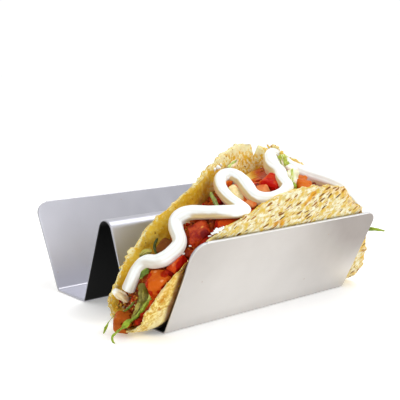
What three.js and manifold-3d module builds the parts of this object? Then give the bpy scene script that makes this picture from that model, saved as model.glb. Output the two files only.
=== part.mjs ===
// A hard-shell taco standing in one slot of a two-slot sheet-steel rack; the other slot is empty.
// Millimetres, +Z up. The model is drawn in the rack's frame: x = 0 is the middle of the rack,
// y = 0 the middle of its length, z = 0 the table. The fold of the taco runs along Y.
import * as THREE from 'three';
import Module from 'manifold-3d';
import { mergeVertices } from 'three/addons/utils/BufferGeometryUtils.js';
import { ConvexGeometry } from 'three/addons/geometries/ConvexGeometry.js';
import { ImprovedNoise } from 'three/addons/math/ImprovedNoise.js';

const { clamp, degToRad, lerp, smoothstep } = THREE.MathUtils;
const wasm = await Module();
wasm.setup();

// ---- driving dimensions ----------------------------------------------------------------------
const GAP = 0.3; // left between pieces that touch

const RACK_LENGTH = 102; // along the fold, 4 inches
const SHEET = 1.0; // thickness of the steel
const SLOT_FLOOR = 21.7; // flat foot under each slot
const V_BASE = 33.5; // from foot to foot under the middle fold
const PLATE_LEAN = degToRad(26.2);
const PLATE_SLANT = 41.6; // length of an outer plate along its slope
const V_LEAN = degToRad(20.2);
const FOOT_BEND = 3.0; // bend radius at the middle of the sheet
const APEX_BEND = 4.5;
const PLATE_CORNER = 6; // rounding of the plates' upper corners

const SHELL_RADIUS = 63.7; // the flat tortilla, 5 inches across
const SHELL_THICKNESS = 2.2;
const FOLD_RADIUS = 7.9; // at the middle of the shell's thickness
const FOLD_SHIFT = 2.9; // the disc is folded off its middle, so its left wall is the taller
const RIM_BUMPS = 0.8; // how far the rim wanders from a circle
const RIM_WAVE = { height: 0.6, length: 14, from: 48, full: 60 }; // the right wall's rim sways
const BLISTERS = 0.35; // height of the shell's blisters
const BLISTER_SIZE = 6;
const NOTCH_WIDTH = 4.2; // the crack in the left wall's rim
const NOTCH_DEPTH = 7.5;
const NOTCH_PLACE = 11.6; // where it is along the fold
const LEFT_CROWN = { height: 2.2, from: -30, full: 0, until: 12, to: 40 }; // the left wall's rim
const RIGHT_CROWN = { height: 1.8, from: 6, full: 26, until: 33, to: 37 }; // and the right wall's
const MOUTH_FLARE = { width: 4.6, from: 46, full: 60, above: 14 }; // the near end opens to the left
const LEAST_WALL = 14; // the left wall's height at the ends, for how fast it leans
const LEAN_CURVE = 1.3; // the left wall leans more the higher it is

const HEAP_RADIUS_LEFT_NEAR = 51; // how far out the filling reaches on each wall
const HEAP_RADIUS_LEFT_FAR = 57.4;
const HEAP_RADIUS_RIGHT = 58.6;
const HEAP_LOW = { from: -56, full: -42, until: 0, to: 16 }; // the stretch with the lower heap
const HEAP_CROWN = 3; // how much the heap swells between the walls
const HEAP_BUMPS = 1.8;
const CREMA_RADIUS_NEAR = 2.8; // the piped line gets thinner towards its far end
const CREMA_RADIUS_FAR = 2.0;
const LEAF_END = 0.55; // a leaf's width at its ends, as a share of its width in the middle
const MOUTH_WARD = [0.76, -0.65]; // out of the mouth and to the right, which the leaves face

// ---- places worked out from them -------------------------------------------------------------
const FOOT_X = V_BASE / 2 + SLOT_FLOOR; // where an outer plate meets the table
const WALL_OFFSET = SHEET + GAP + SHELL_THICKNESS / 2; // plate's outer face to the shell's middle
const FOLD_Z = SHEET + GAP + SHELL_THICKNESS / 2 + FOLD_RADIUS;
const RIGHT_ARC = FOLD_RADIUS * (Math.PI / 2 - PLATE_LEAN); // fold bottom to the right wall
const LEFT_ARC = FOLD_RADIUS * (Math.PI / 2); // fold bottom to the left wall
const WALL_FOOT_X = FOOT_X + (FOLD_Z - FOLD_RADIUS * Math.sin(PLATE_LEAN)) * Math.tan(PLATE_LEAN)
  - WALL_OFFSET / Math.cos(PLATE_LEAN);
const FOLD_X = WALL_FOOT_X - FOLD_RADIUS * Math.cos(PLATE_LEAN);

const perlin = new ImprovedNoise();
const noise = (x, y, z) => perlin.noise(x + 31.7, y + 17.3, z + 53.9);

// Rises from 0 to 1 over one stretch of y and falls back over another.
function hump(y, { from, full, until, to }) {
  return smoothstep(y, from, full) * (1 - smoothstep(y, until, to));
}

// ---- solids ----------------------------------------------------------------------------------
function toManifold(geometry) {
  const bare = geometry.clone();
  bare.deleteAttribute('normal');
  bare.deleteAttribute('uv');
  const merged = mergeVertices(bare, 1e-4);
  return new wasm.Manifold(new wasm.Mesh({
    numProp: 3,
    vertProperties: Float32Array.from(merged.attributes.position.array),
    triVerts: Uint32Array.from(merged.index.array),
  }));
}

function toGeometry(solid) {
  const mesh = solid.getMesh();
  const geometry = new THREE.BufferGeometry();
  geometry.setAttribute('position', new THREE.BufferAttribute(mesh.vertProperties, 3));
  geometry.setIndex(new THREE.BufferAttribute(mesh.triVerts, 1));
  geometry.computeVertexNormals();
  return geometry;
}

// The piece without what its neighbours take away, and without loose scraps.
function carve(solid, neighbours) {
  const bodies = neighbours.reduce((rest, neighbour) => rest.subtract(neighbour), solid).decompose();
  return bodies.reduce((largest, body) => (body.volume() > largest.volume() ? body : largest));
}

// A closed body from a grid of point pairs: grid[row][column] = [point on one face, on the other].
function closedSheet(grid) {
  const rows = grid.length;
  const columns = grid[0].length;
  const positions = [];
  for (const row of grid) {
    for (const [front, back] of row) positions.push(...front.toArray(), ...back.toArray());
  }
  const at = (row, column, face) => 2 * (row * columns + column) + face;
  const index = [];
  const quad = (a, b, c, d) => index.push(a, b, c, a, c, d);
  for (let r = 0; r < rows - 1; r++) {
    for (let c = 0; c < columns - 1; c++) {
      quad(at(r, c, 0), at(r, c + 1, 0), at(r + 1, c + 1, 0), at(r + 1, c, 0));
      quad(at(r + 1, c, 1), at(r + 1, c + 1, 1), at(r, c + 1, 1), at(r, c, 1));
    }
    quad(at(r, 0, 1), at(r, 0, 0), at(r + 1, 0, 0), at(r + 1, 0, 1));
    const last = columns - 1;
    quad(at(r, last, 0), at(r, last, 1), at(r + 1, last, 1), at(r + 1, last, 0));
  }
  const end = rows - 1;
  for (let c = 0; c < columns - 1; c++) {
    quad(at(0, c, 1), at(0, c + 1, 1), at(0, c + 1, 0), at(0, c, 0));
    quad(at(end, c, 0), at(end, c + 1, 0), at(end, c + 1, 1), at(end, c, 1));
  }
  return facingOut(positions, index);
}

// A closed geometry whose triangles are turned so that they face out.
function facingOut(positions, index) {
  const corner = (i) => new THREE.Vector3().fromArray(positions, 3 * i);
  let volume = 0;
  for (let i = 0; i < index.length; i += 3) {
    volume += corner(index[i]).dot(corner(index[i + 1]).cross(corner(index[i + 2])));
  }
  if (volume < 0) index.reverse();
  const geometry = new THREE.BufferGeometry();
  geometry.setAttribute('position', new THREE.Float32BufferAttribute(positions, 3));
  geometry.setIndex(index);
  return geometry;
}

// ---- rack ------------------------------------------------------------------------------------
// Places and side directions along a line whose corners, [x, z, radius], are rounded.
function roundedLine(corners, steps) {
  const samples = [];
  const add = (x, z, angle) => {
    samples.push({ x, z, side: [-Math.sin(angle), Math.cos(angle)] });
  };
  corners.forEach(([x, z, radius], i) => {
    const [before, after] = [corners[i - 1], corners[i + 1]];
    const angleIn = before && Math.atan2(z - before[1], x - before[0]);
    const angleOut = after && Math.atan2(after[1] - z, after[0] - x);
    if (!before || !after) {
      add(x, z, before ? angleIn : angleOut);
      return;
    }
    const turn = angleOut - angleIn;
    const setback = radius * Math.tan(Math.abs(turn) / 2);
    const reach = Math.sign(turn) * radius;
    const centreX = x - setback * Math.cos(angleIn) - reach * Math.sin(angleIn);
    const centreZ = z - setback * Math.sin(angleIn) + reach * Math.cos(angleIn);
    for (let k = 0; k <= steps; k++) {
      const angle = angleIn + (turn * k) / steps;
      add(centreX + reach * Math.sin(angle), centreZ - reach * Math.cos(angle), angle);
    }
  });
  return samples;
}

// One bent sheet: plate, foot, middle fold, foot, plate.
function rackGeometry() {
  const half = SHEET / 2;
  const footX = FOOT_X + half * Math.tan(PLATE_LEAN) - half / Math.cos(PLATE_LEAN);
  const slant = PLATE_SLANT - half * Math.tan(PLATE_LEAN);
  const plateTop = (along) => [
    footX + along * Math.sin(PLATE_LEAN), half + along * Math.cos(PLATE_LEAN), 0];
  const apexZ = half + V_BASE / 2 / Math.tan(V_LEAN);
  const cornerSteps = 5;
  const right = [[0, apexZ, APEX_BEND], [V_BASE / 2, half, FOOT_BEND], [footX, half, FOOT_BEND],
    plateTop(slant)];
  const left = right.slice(1).reverse().map(([x, z, radius]) => [-x, z, radius]);
  const line = roundedLine([...left, ...right], cornerSteps);

  // a plate gets shorter towards its top edge where its corners round off
  const plateEnd = (sign) => Array.from({ length: cornerSteps + 1 }, (_, k) => {
    const angle = (Math.PI / 2) * (k / cornerSteps);
    const [x, z] = plateTop(slant - PLATE_CORNER * (1 - Math.sin(angle)));
    const length = RACK_LENGTH - 2 * PLATE_CORNER * (1 - Math.cos(angle));
    const side = [-sign * Math.cos(PLATE_LEAN), Math.sin(PLATE_LEAN)];
    return { x: sign * x, z, side, length };
  });
  const bends = line.slice(1, -1).map((sample) => ({ ...sample, length: RACK_LENGTH }));
  const stations = [...plateEnd(-1).reverse(), ...bends, ...plateEnd(1)];
  const corner = ({ x, z, side, length }, end, face) => (
    new THREE.Vector3(x + face * half * side[0], end * length, z + face * half * side[1]));
  return closedSheet(stations.map((station) => (
    [-0.5, 0.5].map((end) => [1, -1].map((face) => corner(station, end, face))))));
}

// ---- shell -----------------------------------------------------------------------------------
// How far the left wall's rim stands to the right (+) or left of its foot, along the fold.
const LEFT_RIM = [[-64, -4], [-60, -2], [-52, 3], [-40, 9], [-32, 10.5], [-22, 7.3], [-10, 2.6],
  [5, -3.6], [18, -3.2], [35, 3.5], [50, 4], [64, 1]];

function leftBow(y) {
  const last = LEFT_RIM.length - 2;
  const i = clamp(LEFT_RIM.findIndex(([place]) => place > y) - 1, 0, last);
  const [[y0, bow0], [y1, bow1]] = [LEFT_RIM[i], LEFT_RIM[i + 1]];
  return lerp(bow0, bow1, smoothstep(y, y0, y1));
}

const halfChord = (radius, y) => Math.sqrt(Math.max(radius * radius - y * y, 0));

// The middle of the shell: u runs across from the fold's lowest line, + up the right wall.
function shellPoint(u, y) {
  const { width, from, full, above } = MOUTH_FLARE;
  const flareBand = { from: 1, full: LEFT_ARC, until: LEFT_ARC, to: LEFT_ARC + above };
  const flare = width * smoothstep(-y, from, full) * hump(-u, flareBand);
  if (u > RIGHT_ARC) {
    const up = u - RIGHT_ARC;
    const wave = RIM_WAVE.height * smoothstep(u, RIM_WAVE.from, RIM_WAVE.full)
      * noise(0, y / RIM_WAVE.length, 3);
    const x = WALL_FOOT_X + up * Math.sin(PLATE_LEAN) + wave;
    const z = FOLD_Z - FOLD_RADIUS * Math.sin(PLATE_LEAN) + up * Math.cos(PLATE_LEAN);
    return new THREE.Vector3(x, y, z);
  }
  if (u > -LEFT_ARC) {
    const angle = u / FOLD_RADIUS;
    const x = FOLD_X + FOLD_RADIUS * Math.sin(angle) - flare;
    return new THREE.Vector3(x, y, FOLD_Z - FOLD_RADIUS * Math.cos(angle));
  }
  const up = -u - LEFT_ARC;
  const height = Math.max(FOLD_SHIFT + halfChord(SHELL_RADIUS, y) - LEFT_ARC, LEAST_WALL);
  const x = FOLD_X - FOLD_RADIUS + leftBow(y) * Math.pow(up / height, LEAN_CURVE) - flare;
  return new THREE.Vector3(x, y, FOLD_Z + up);
}

// Points out of the fold, away from the filling.
function shellNormal(u, y) {
  const step = 0.05;
  const across = shellPoint(u + step, y).sub(shellPoint(u - step, y));
  const along = shellPoint(u, y + step).sub(shellPoint(u, y - step));
  return across.cross(along).normalize();
}

function rimRadius(u, y) {
  const angle = Math.atan2(y, u);
  const wide = noise(3.2 * Math.cos(angle), 3.2 * Math.sin(angle), 1);
  const fine = noise(9 * Math.cos(angle), 9 * Math.sin(angle), 5);
  return SHELL_RADIUS + RIM_BUMPS * (0.9 * wide + fine);
}

const SHELL_ROWS = 30;
const WALL_COLUMNS = 8;
const ARC_COLUMNS = 7;

// Where the columns of one row lie, between the rims of the two walls.
function shellColumns(y, grow) {
  const chord = halfChord(SHELL_RADIUS, y);
  const [leftCrown, rightCrown] = [LEFT_CROWN, RIGHT_CROWN].map((crown) => (
    crown.height * hump(y, crown)));
  const left = -FOLD_SHIFT - halfChord(rimRadius(-FOLD_SHIFT - chord, y), y) - leftCrown - grow;
  const right = -FOLD_SHIFT + halfChord(rimRadius(chord - FOLD_SHIFT, y), y) + rightCrown + grow;
  const arcShare = 0.6; // near the ends the fold keeps at most this much of the row
  const arcLeft = Math.max(-LEFT_ARC, -FOLD_SHIFT - arcShare * chord);
  const arcRight = Math.min(RIGHT_ARC, -FOLD_SHIFT + arcShare * chord);
  const columns = [];
  for (let i = 0; i < WALL_COLUMNS; i++) {
    columns.push(lerp(left, arcLeft, i / WALL_COLUMNS));
  }
  for (let i = 0; i < ARC_COLUMNS; i++) {
    columns.push(lerp(arcLeft, arcRight, i / ARC_COLUMNS));
  }
  for (let i = 0; i <= WALL_COLUMNS; i++) {
    columns.push(lerp(arcRight, right, i / WALL_COLUMNS));
  }
  return columns;
}

function shellGeometry(grow) {
  const grid = [];
  const lastTurn = 0.98; // the first and last rows stop just short of the disc's tips
  for (let j = 0; j <= SHELL_ROWS; j++) {
    const turn = (Math.PI / 2) * lastTurn * ((2 * j) / SHELL_ROWS - 1);
    const y = SHELL_RADIUS * Math.sin(turn);
    const yPlaced = y + Math.sign(y) * (j % SHELL_ROWS === 0 ? grow : 0);
    grid.push(shellColumns(y, grow).map((u) => {
      const middle = shellPoint(u, y).setY(yPlaced);
      const normal = shellNormal(u, y);
      const blister = (seed) => BLISTERS * noise(u / BLISTER_SIZE, y / BLISTER_SIZE, seed);
      const inward = SHELL_THICKNESS / 2 + blister(7) + grow;
      const outward = SHELL_THICKNESS / 2 - Math.abs(blister(11)) + grow; // clear of the plate
      return [outward, -inward].map((out) => middle.clone().addScaledVector(normal, out));
    }));
  }
  return closedSheet(grid);
}

// The crack in the rim of the left wall, a wedge that opens upwards.
function notchGeometry() {
  const [above, through] = [5, 14]; // how far the wedge runs past the rim and both faces
  const rim = shellPoint(-FOLD_SHIFT - halfChord(SHELL_RADIUS, NOTCH_PLACE), NOTCH_PLACE);
  const wedge = new THREE.Shape([
    new THREE.Vector2(-NOTCH_WIDTH / 2, above), new THREE.Vector2(-NOTCH_WIDTH / 4, -NOTCH_DEPTH),
    new THREE.Vector2(NOTCH_WIDTH, above)]);
  const geometry = new THREE.ExtrudeGeometry(wedge, { depth: through, bevelEnabled: false });
  geometry.translate(0, 0, -through / 2);
  geometry.rotateX(Math.PI / 2);
  geometry.rotateZ(Math.PI / 2);
  geometry.translate(rim.x, rim.y, rim.z);
  return geometry;
}

// ---- filling ---------------------------------------------------------------------------------
// The heap's rings run down the left wall, round the fold, up the right wall and back over the top.
function heapGeometry() {
  const [rows, inside, top] = [22, 10, 8];
  const lastTurn = 0.985;
  const bumpSize = 5;
  const offset = SHELL_THICKNESS / 2 + GAP;
  const positions = [];
  const index = [];
  const ring = inside + top;
  const push = (point) => positions.push(...point.toArray());
  for (let j = 0; j <= rows; j++) {
    const turn = (Math.PI / 2) * lastTurn * ((2 * j) / rows - 1);
    const y = HEAP_RADIUS_LEFT_FAR * Math.sin(turn);
    const radius = lerp(HEAP_RADIUS_LEFT_FAR, HEAP_RADIUS_LEFT_NEAR, hump(y, HEAP_LOW));
    const left = -FOLD_SHIFT - halfChord(radius, y);
    const right = -FOLD_SHIFT + halfChord(HEAP_RADIUS_RIGHT, y);
    const wallPoint = (u) => shellPoint(u, y).addScaledVector(shellNormal(u, y), -offset);
    for (let i = 0; i < inside; i++) {
      push(wallPoint(lerp(left, right, i / (inside - 1))));
    }
    for (let i = 1; i <= top; i++) {
      const t = i / (top + 1);
      const point = wallPoint(right).lerp(wallPoint(left), t);
      const swell = HEAP_CROWN * 4 * t * (1 - t);
      const bump = noise(...point.clone().divideScalar(bumpSize).toArray()) * Math.sin(Math.PI * t);
      const out = new THREE.Vector3(0, point.y, point.z).normalize();
      push(point.addScaledVector(out, swell + HEAP_BUMPS * bump));
    }
  }
  for (let j = 0; j < rows; j++) {
    for (let i = 0; i < ring; i++) {
      const [a, b] = [j * ring + i, j * ring + ((i + 1) % ring)];
      index.push(a, b, b + ring, a, b + ring, a + ring);
    }
  }
  for (let i = 1; i < ring - 1; i++) {
    index.push(0, i + 1, i);
    index.push(rows * ring, rows * ring + i, rows * ring + i + 1);
  }
  return facingOut(positions, index);
}

// A knife-cut dice: a box with its edges cut off, whose sides aren't quite square. The room that it
// needs in its neighbours is the same box, grown, with its edges left on.
function diceGeometry([width, depth, height], seed, grow) {
  const [edgeCut, unevenness] = [0.16, 0.3];
  const cut = grow > 0 ? 0 : edgeCut * Math.min(width, depth, height);
  const [taperX, taperY, skew] = [1, 2, 3].map((k) => (
    unevenness * noise(seed * 1.7, k * 2.3, seed)));
  const half = [width / 2 + grow, depth / 2 + grow, height / 2 + grow];
  const points = [];
  for (const corner of [0, 1, 2, 3, 4, 5, 6, 7]) {
    for (const face of cut > 0 ? [0, 1, 2] : [0]) {
      const [x, y, z] = half.map((size, axis) => (
        (corner & (1 << axis) ? 1 : -1) * (size - (axis === face ? 0 : cut))));
      const up = z / (2 * half[2]);
      points.push(new THREE.Vector3(x * (1 + taperX * up) + skew * z, y * (1 + taperY * up), z));
    }
  }
  return new ConvexGeometry(points);
}

// A wavy strip of leaf along a curve, widest in its middle, its face towards the taco's mouth.
function stripGeometry(points, width, thickness, grow) {
  const curve = new THREE.CatmullRomCurve3(points.map((point) => new THREE.Vector3(...point)));
  const steps = 4 * (points.length - 1);
  const length = curve.getLength();
  const grid = [];
  for (let k = 0; k <= steps; k++) {
    const t = k / steps;
    const point = curve.getPointAt(t);
    const tangent = curve.getTangentAt(t);
    const end = (k === steps) - (k === 0); // -1 at the first point, 1 at the last
    point.addScaledVector(tangent, end * grow);
    const wave = 0.35 * Math.sin((length * t) / 2);
    const across = new THREE.Vector3(...MOUTH_WARD, wave).cross(tangent).normalize();
    const normal = tangent.clone().cross(across).normalize();
    const half = (width / 2) * lerp(LEAF_END, 1, Math.sin(Math.PI * t)) + grow;
    const deep = thickness / 2 + grow;
    grid.push([-half, half].map((side) => [deep, -deep].map((out) => (
      point.clone().addScaledVector(across, side).addScaledVector(normal, out)))));
  }
  return closedSheet(grid);
}

// ---- crema -----------------------------------------------------------------------------------
// The piped line starts low on the front of the heap, swings from wall to wall over the top and
// runs down the far end. Where it meets a wall, the wall cuts it, as it is pressed against it.
const CREMA_LINE = [[29, -61.2, 15.6], [30.5, -59.2, 22], [31.6, -57.2, 26], [34, -55.6, 28.8],
  [38, -54.4, 28.4], [42, -51.2, 31.2], [44, -47.6, 35.4], [41.5, -45.9, 38.8], [38, -43.8, 42],
  [40.5, -40, 45], [46, -36.8, 46], [52, -33.2, 46.6], [55.8, -28.8, 47.4], [53, -26.8, 49.4],
  [46.5, -26.8, 51.6], [41, -25.4, 54], [37.4, -21.6, 56.8], [38.5, -17.8, 58.4],
  [43, -16.4, 57], [48.5, -17.8, 54.3], [54, -18.2, 52.4], [57.4, -14.6, 52.4], [58, -8.4, 53.6],
  [54.6, -3, 56], [47.6, 1, 58], [41, 5, 59.8], [34.6, 9, 62], [30.4, 12.6, 63], [28.8, 16, 62.4],
  [30, 19.6, 60.6], [33, 21.4, 58.2], [40, 22.9, 55.4], [46, 24.3, 53.6], [51, 26.1, 51.9],
  [54.8, 30, 48.8], [55.8, 35.6, 45], [54.6, 41, 41.4], [49, 45, 39.8], [43, 46.6, 39.6],
  [38.6, 50, 36], [36.6, 54, 30]];

const CREMA_STEPS = 100;

// A round bead along the line, with blunt rounded ends.
function cremaSolid(grow, steps, sides) {
  const curve = new THREE.CatmullRomCurve3(CREMA_LINE.map((point) => new THREE.Vector3(...point)));
  const { normals, binormals } = curve.computeFrenetFrames(steps);
  const [thinsFrom, thinBy] = [0.45, 0.8];
  const [tip, round] = [0.4, 1.6]; // in steps: where the rounding of an end starts and is done
  const positions = [];
  const index = [];
  for (let k = 0; k <= steps; k++) {
    const t = k / steps;
    const fromEnd = Math.min(1, (tip + Math.min(k, steps - k)) / round);
    const blunt = Math.sqrt(1 - (1 - fromEnd) ** 2);
    const full = lerp(CREMA_RADIUS_NEAR, CREMA_RADIUS_FAR, smoothstep(t, thinsFrom, thinBy));
    const radius = blunt * full + grow;
    for (let side = 0; side < sides; side++) {
      const angle = (2 * Math.PI * side) / sides;
      const point = curve.getPointAt(t).addScaledVector(normals[k], radius * Math.cos(angle));
      positions.push(...point.addScaledVector(binormals[k], radius * Math.sin(angle)).toArray());
    }
  }
  for (let k = 0; k < steps; k++) {
    for (let side = 0; side < sides; side++) {
      const [a, b] = [k * sides + side, k * sides + ((side + 1) % sides)];
      index.push(a, b, b + sides, a, b + sides, a + sides);
    }
  }
  for (let side = 1; side < sides - 1; side++) {
    index.push(0, side + 1, side);
    index.push(steps * sides, steps * sides + side, steps * sides + side + 1);
  }
  return toManifold(facingOut(positions, index));
}

// ---- materials -------------------------------------------------------------------------------
const material = (color, roughness, metalness = 0) => (
  new THREE.MeshStandardMaterial({ color, roughness, metalness }));
const steel = material(0xd8d5d1, 0.32, 1);
const corn = material(0xe3bb4c, 0.7);
const meat = material(0x7a3a1c, 0.6);
const tomato = material(0xc8401f, 0.3);
const darkTomato = material(0x96180f, 0.25);
const leaf = material(0x9aba3a, 0.45);
const paleLeaf = material(0xc4d68a, 0.45);
const onion = material(0xe4d8bc, 0.35);
const cream = material(0xf8f6f2, 0.35);

// ---- the loose toppings ----------------------------------------------------------------------
// Dice: [name, middle, width depth height, turn about X Y Z, material].
const DICE = [
  ['tomato_front_big', [40.4, -53.2, 19.6], [10, 9, 11], [0.5, 0.25, 0.5], tomato],
  ['tomato_front_mid', [44, -48.6, 26.6], [8, 7.5, 7], [0.9, -0.2, 0.3], tomato],
  ['tomato_front_low', [29.2, -63.2, 5], [6.6, 6.4, 7], [0.2, 0.35, 0.7], tomato],
  ['tomato_shaded', [36, -47.8, 32], [6.8, 6.5, 6.2], [0.7, 0.4, 0.1], darkTomato],
  ['tomato_red_1', [45, -39.6, 37], [9.5, 8.5, 8], [0.8, 0.2, 0.9], darkTomato],
  ['tomato_red_2', [50.4, -38, 35], [9, 7.5, 8], [0.6, -0.3, 0.2], tomato],
  ['tomato_red_3', [51, -31.6, 40], [8.5, 7, 7], [0.4, 0.5, 0.6], darkTomato],
  ['tomato_strip', [54.4, -25, 44.8], [3.6, 11, 3.4], [0.1, 0.2, -0.3], tomato],
  ['tomato_flesh', [46.4, -20.6, 49], [11, 6.5, 5.5], [0.3, 0.65, 0.15], tomato],
  ['tomato_small_1', [53.4, -21.6, 47.6], [4, 3.6, 3.6], [0.3, 0.5, 0.2], tomato],
  ['tomato_small_2', [50.4, -12.6, 51.4], [5, 4.4, 4.4], [0.6, 0.1, 0.4], darkTomato],
  ['tomato_block', [50, -5.8, 53.4], [9.5, 9, 8], [0.3, 0.35, 0.2], tomato],
  ['tomato_ridge', [52.4, 9, 51], [7, 7, 4.6], [0.2, 0.5, 0.9], tomato],
  ['tomato_middle', [43.4, 13.6, 52.6], [8, 7, 6.5], [0.2, 0.3, 0.5], darkTomato],
  ['tomato_back_1', [50, 33.8, 41.4], [8, 7.5, 7], [-0.4, 0.2, 0.6], tomato],
  ['tomato_back_2', [38, 36.6, 44.4], [7.5, 7, 7], [-0.6, 0.3, 0.1], darkTomato],
  ['tomato_back_3', [44, 51, 28.4], [8.5, 8, 8], [-0.8, 0.1, 0.4], tomato],
  ['tomato_back_low', [33.6, 57, 12.6], [7, 6.5, 7.5], [-0.3, 0.2, 0.8], tomato],
  ['onion_front', [25.8, -60.4, 14], [5.4, 4.6, 5.2], [0.4, 0.2, 0.3], onion],
  ['onion_top', [38, 16.8, 56], [5, 4.4, 4], [0.2, 0.4, 0.2], onion],
  ['onion_back', [36, 55, 21.6], [6, 4.6, 5], [-0.5, 0.2, 0.9], onion],
];

// Strips of lettuce: [name, line, width, thickness, material].
const STRIPS = [
  ['lettuce_long', [[36, -55.4, 20], [36.5, -56.8, 14.2], [34, -58.6, 9.4], [32, -61.6, 6.2],
    [31.8, -64.6, 4.4], [33.4, -68.6, 2.8], [36, -73, 2]], 3.2, 0.7, leaf],
  ['lettuce_olive', [[33.2, -57, 20], [34, -57.6, 15], [32.4, -58.8, 10.8], [30.6, -59.6, 9]],
    2.8, 0.7, leaf],
  ['lettuce_sliver', [[25.4, -62.4, 8.8], [26, -67.2, 5.6], [27, -69.6, 3.6], [29.6, -72.6, 1.9]],
    1.4, 0.6, leaf],
  ['lettuce_stub', [[36, -56.2, 25.4], [33.4, -57.8, 23.4], [31, -59, 21.6]], 3, 0.7, leaf],
  ['lettuce_side', [[32, -48.9, 35.5], [32, -50.4, 32.7], [33.6, -50.4, 30.5], [36.6, -49, 30.8]],
    2, 0.7, leaf],
  ['lettuce_loop', [[38, -28, 51.4], [41, -28.8, 49], [43.6, -29.4, 46.6]], 2.8, 0.7, paleLeaf],
  ['lettuce_wall', [[30.4, -12.2, 58.4], [29.2, -8, 59.8], [28.2, -4.3, 61]], 3, 0.6, leaf],
  ['lettuce_top', [[32.4, 16, 62.4], [33.4, 14.6, 59.2], [35, 14.6, 55.4]], 4.6, 0.7, leaf],
  ['lettuce_ridge', [[46, 10, 57.4], [47.4, 8, 54.8], [50, 3.6, 51.2]], 5, 0.7, paleLeaf],
  ['lettuce_back', [[43, 48.6, 23.6], [45, 54, 26.2], [48.4, 58.2, 27.2], [53, 61.8, 26.6]],
    1.6, 0.6, leaf],
  ['lettuce_back_low', [[35.4, 56, 17.6], [33.4, 60.6, 13], [30, 64.6, 8.4], [28, 67.4, 4]],
    2.6, 0.7, leaf],
];

// ---- the scene graph -------------------------------------------------------------------------
const taco = new THREE.Group();

function addMesh(name, geometry, finish, centre = [0, 0, 0], turn = [0, 0, 0]) {
  const mesh = new THREE.Mesh(geometry, finish);
  mesh.name = name;
  mesh.position.set(...centre);
  mesh.rotation.set(...turn);
  taco.add(mesh);
  return mesh;
}

const grownShell = toManifold(shellGeometry(GAP));
const shell = carve(toManifold(shellGeometry(0)), [toManifold(notchGeometry())]);
const crema = carve(cremaSolid(0, CREMA_STEPS, 8), [grownShell]);

addMesh('rack', rackGeometry(), steel);
addMesh('shell', toGeometry(shell), corn);
addMesh('crema', toGeometry(crema), cream);

// Each topping gives way to the shell and to the pieces placed before it, and the heap to them all.
const flatSides = 0.5; // what six flat sides need more than eight, to clear the bead all round
const cremaRoom = cremaSolid(GAP + flatSides, CREMA_STEPS, 6);
const taken = [grownShell, cremaRoom];

for (const [name, line, width, thickness, finish] of STRIPS) {
  const strip = carve(toManifold(stripGeometry(line, width, thickness, 0)), taken);
  addMesh(name, toGeometry(strip), finish);
  taken.push(toManifold(stripGeometry(line, width, thickness, GAP)));
}

DICE.forEach(([name, centre, size, turn, finish], seed) => {
  const place = new THREE.Matrix4().makeRotationFromEuler(new THREE.Euler(...turn));
  place.setPosition(...centre);
  const placed = (grow) => toManifold(diceGeometry(size, seed + 1, grow).applyMatrix4(place));
  const dice = toGeometry(carve(placed(0), taken)).applyMatrix4(place.clone().invert());
  addMesh(name, dice, finish, centre, turn);
  taken.push(placed(GAP));
});

addMesh('filling', toGeometry(carve(toManifold(heapGeometry()), taken)), meat);

// The origin goes to the middle of the underside.
const bounds = new THREE.Box3().setFromObject(taco, true);
const middle = bounds.getCenter(new THREE.Vector3());
taco.position.set(-middle.x, -middle.y, -bounds.min.z);

export default taco;
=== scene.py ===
"""A filled hard-shell taco standing in one slot of a two-slot sheet-steel stand.

Shapes are worked out in millimetres in the stand's own frame, where x = 0 is the middle of the
stand, y = 0 the middle of its length, z = 0 the table, and the fold of the taco runs along Y.
to_world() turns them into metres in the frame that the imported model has.
"""

import itertools
import math

import bpy
import numpy as np
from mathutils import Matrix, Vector


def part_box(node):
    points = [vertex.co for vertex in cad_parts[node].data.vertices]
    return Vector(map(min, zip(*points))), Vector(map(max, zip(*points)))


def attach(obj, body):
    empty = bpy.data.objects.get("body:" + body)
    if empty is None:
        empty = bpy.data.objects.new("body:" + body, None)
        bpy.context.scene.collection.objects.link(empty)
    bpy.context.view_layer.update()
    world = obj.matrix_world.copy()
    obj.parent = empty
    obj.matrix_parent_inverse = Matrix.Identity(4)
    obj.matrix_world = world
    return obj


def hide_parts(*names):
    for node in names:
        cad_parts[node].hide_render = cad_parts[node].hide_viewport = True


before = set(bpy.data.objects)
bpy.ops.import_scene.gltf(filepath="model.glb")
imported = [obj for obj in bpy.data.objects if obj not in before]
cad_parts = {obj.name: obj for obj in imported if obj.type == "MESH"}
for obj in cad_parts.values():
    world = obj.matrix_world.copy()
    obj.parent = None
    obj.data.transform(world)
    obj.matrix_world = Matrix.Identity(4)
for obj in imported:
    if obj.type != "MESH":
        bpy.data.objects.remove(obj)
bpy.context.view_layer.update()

MM = 0.001
stand_low, stand_high = (np.array(corner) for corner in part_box("rack"))
ORIGIN = np.array([*(stand_low + stand_high)[:2] / 2, 0])  # the stand's middle, in the shared frame

# ---- sizes, in mm ----
RACK_LENGTH = 102
SHEET = 1.0
SLOT_FLOOR = 21.7
V_BASE = 33.5
PLATE_LEAN = math.radians(26.2)
PLATE_SLANT = 41.6
V_LEAN = math.radians(20.2)
FOOT_BEND = 1.8
APEX_BEND = 4.5
PLATE_CORNER = 6

SHELL_RADIUS = 63.7
SHELL_THICKNESS = 2.2
FOLD_RADIUS = 7.9
FOLD_SHIFT = 2.9
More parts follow.
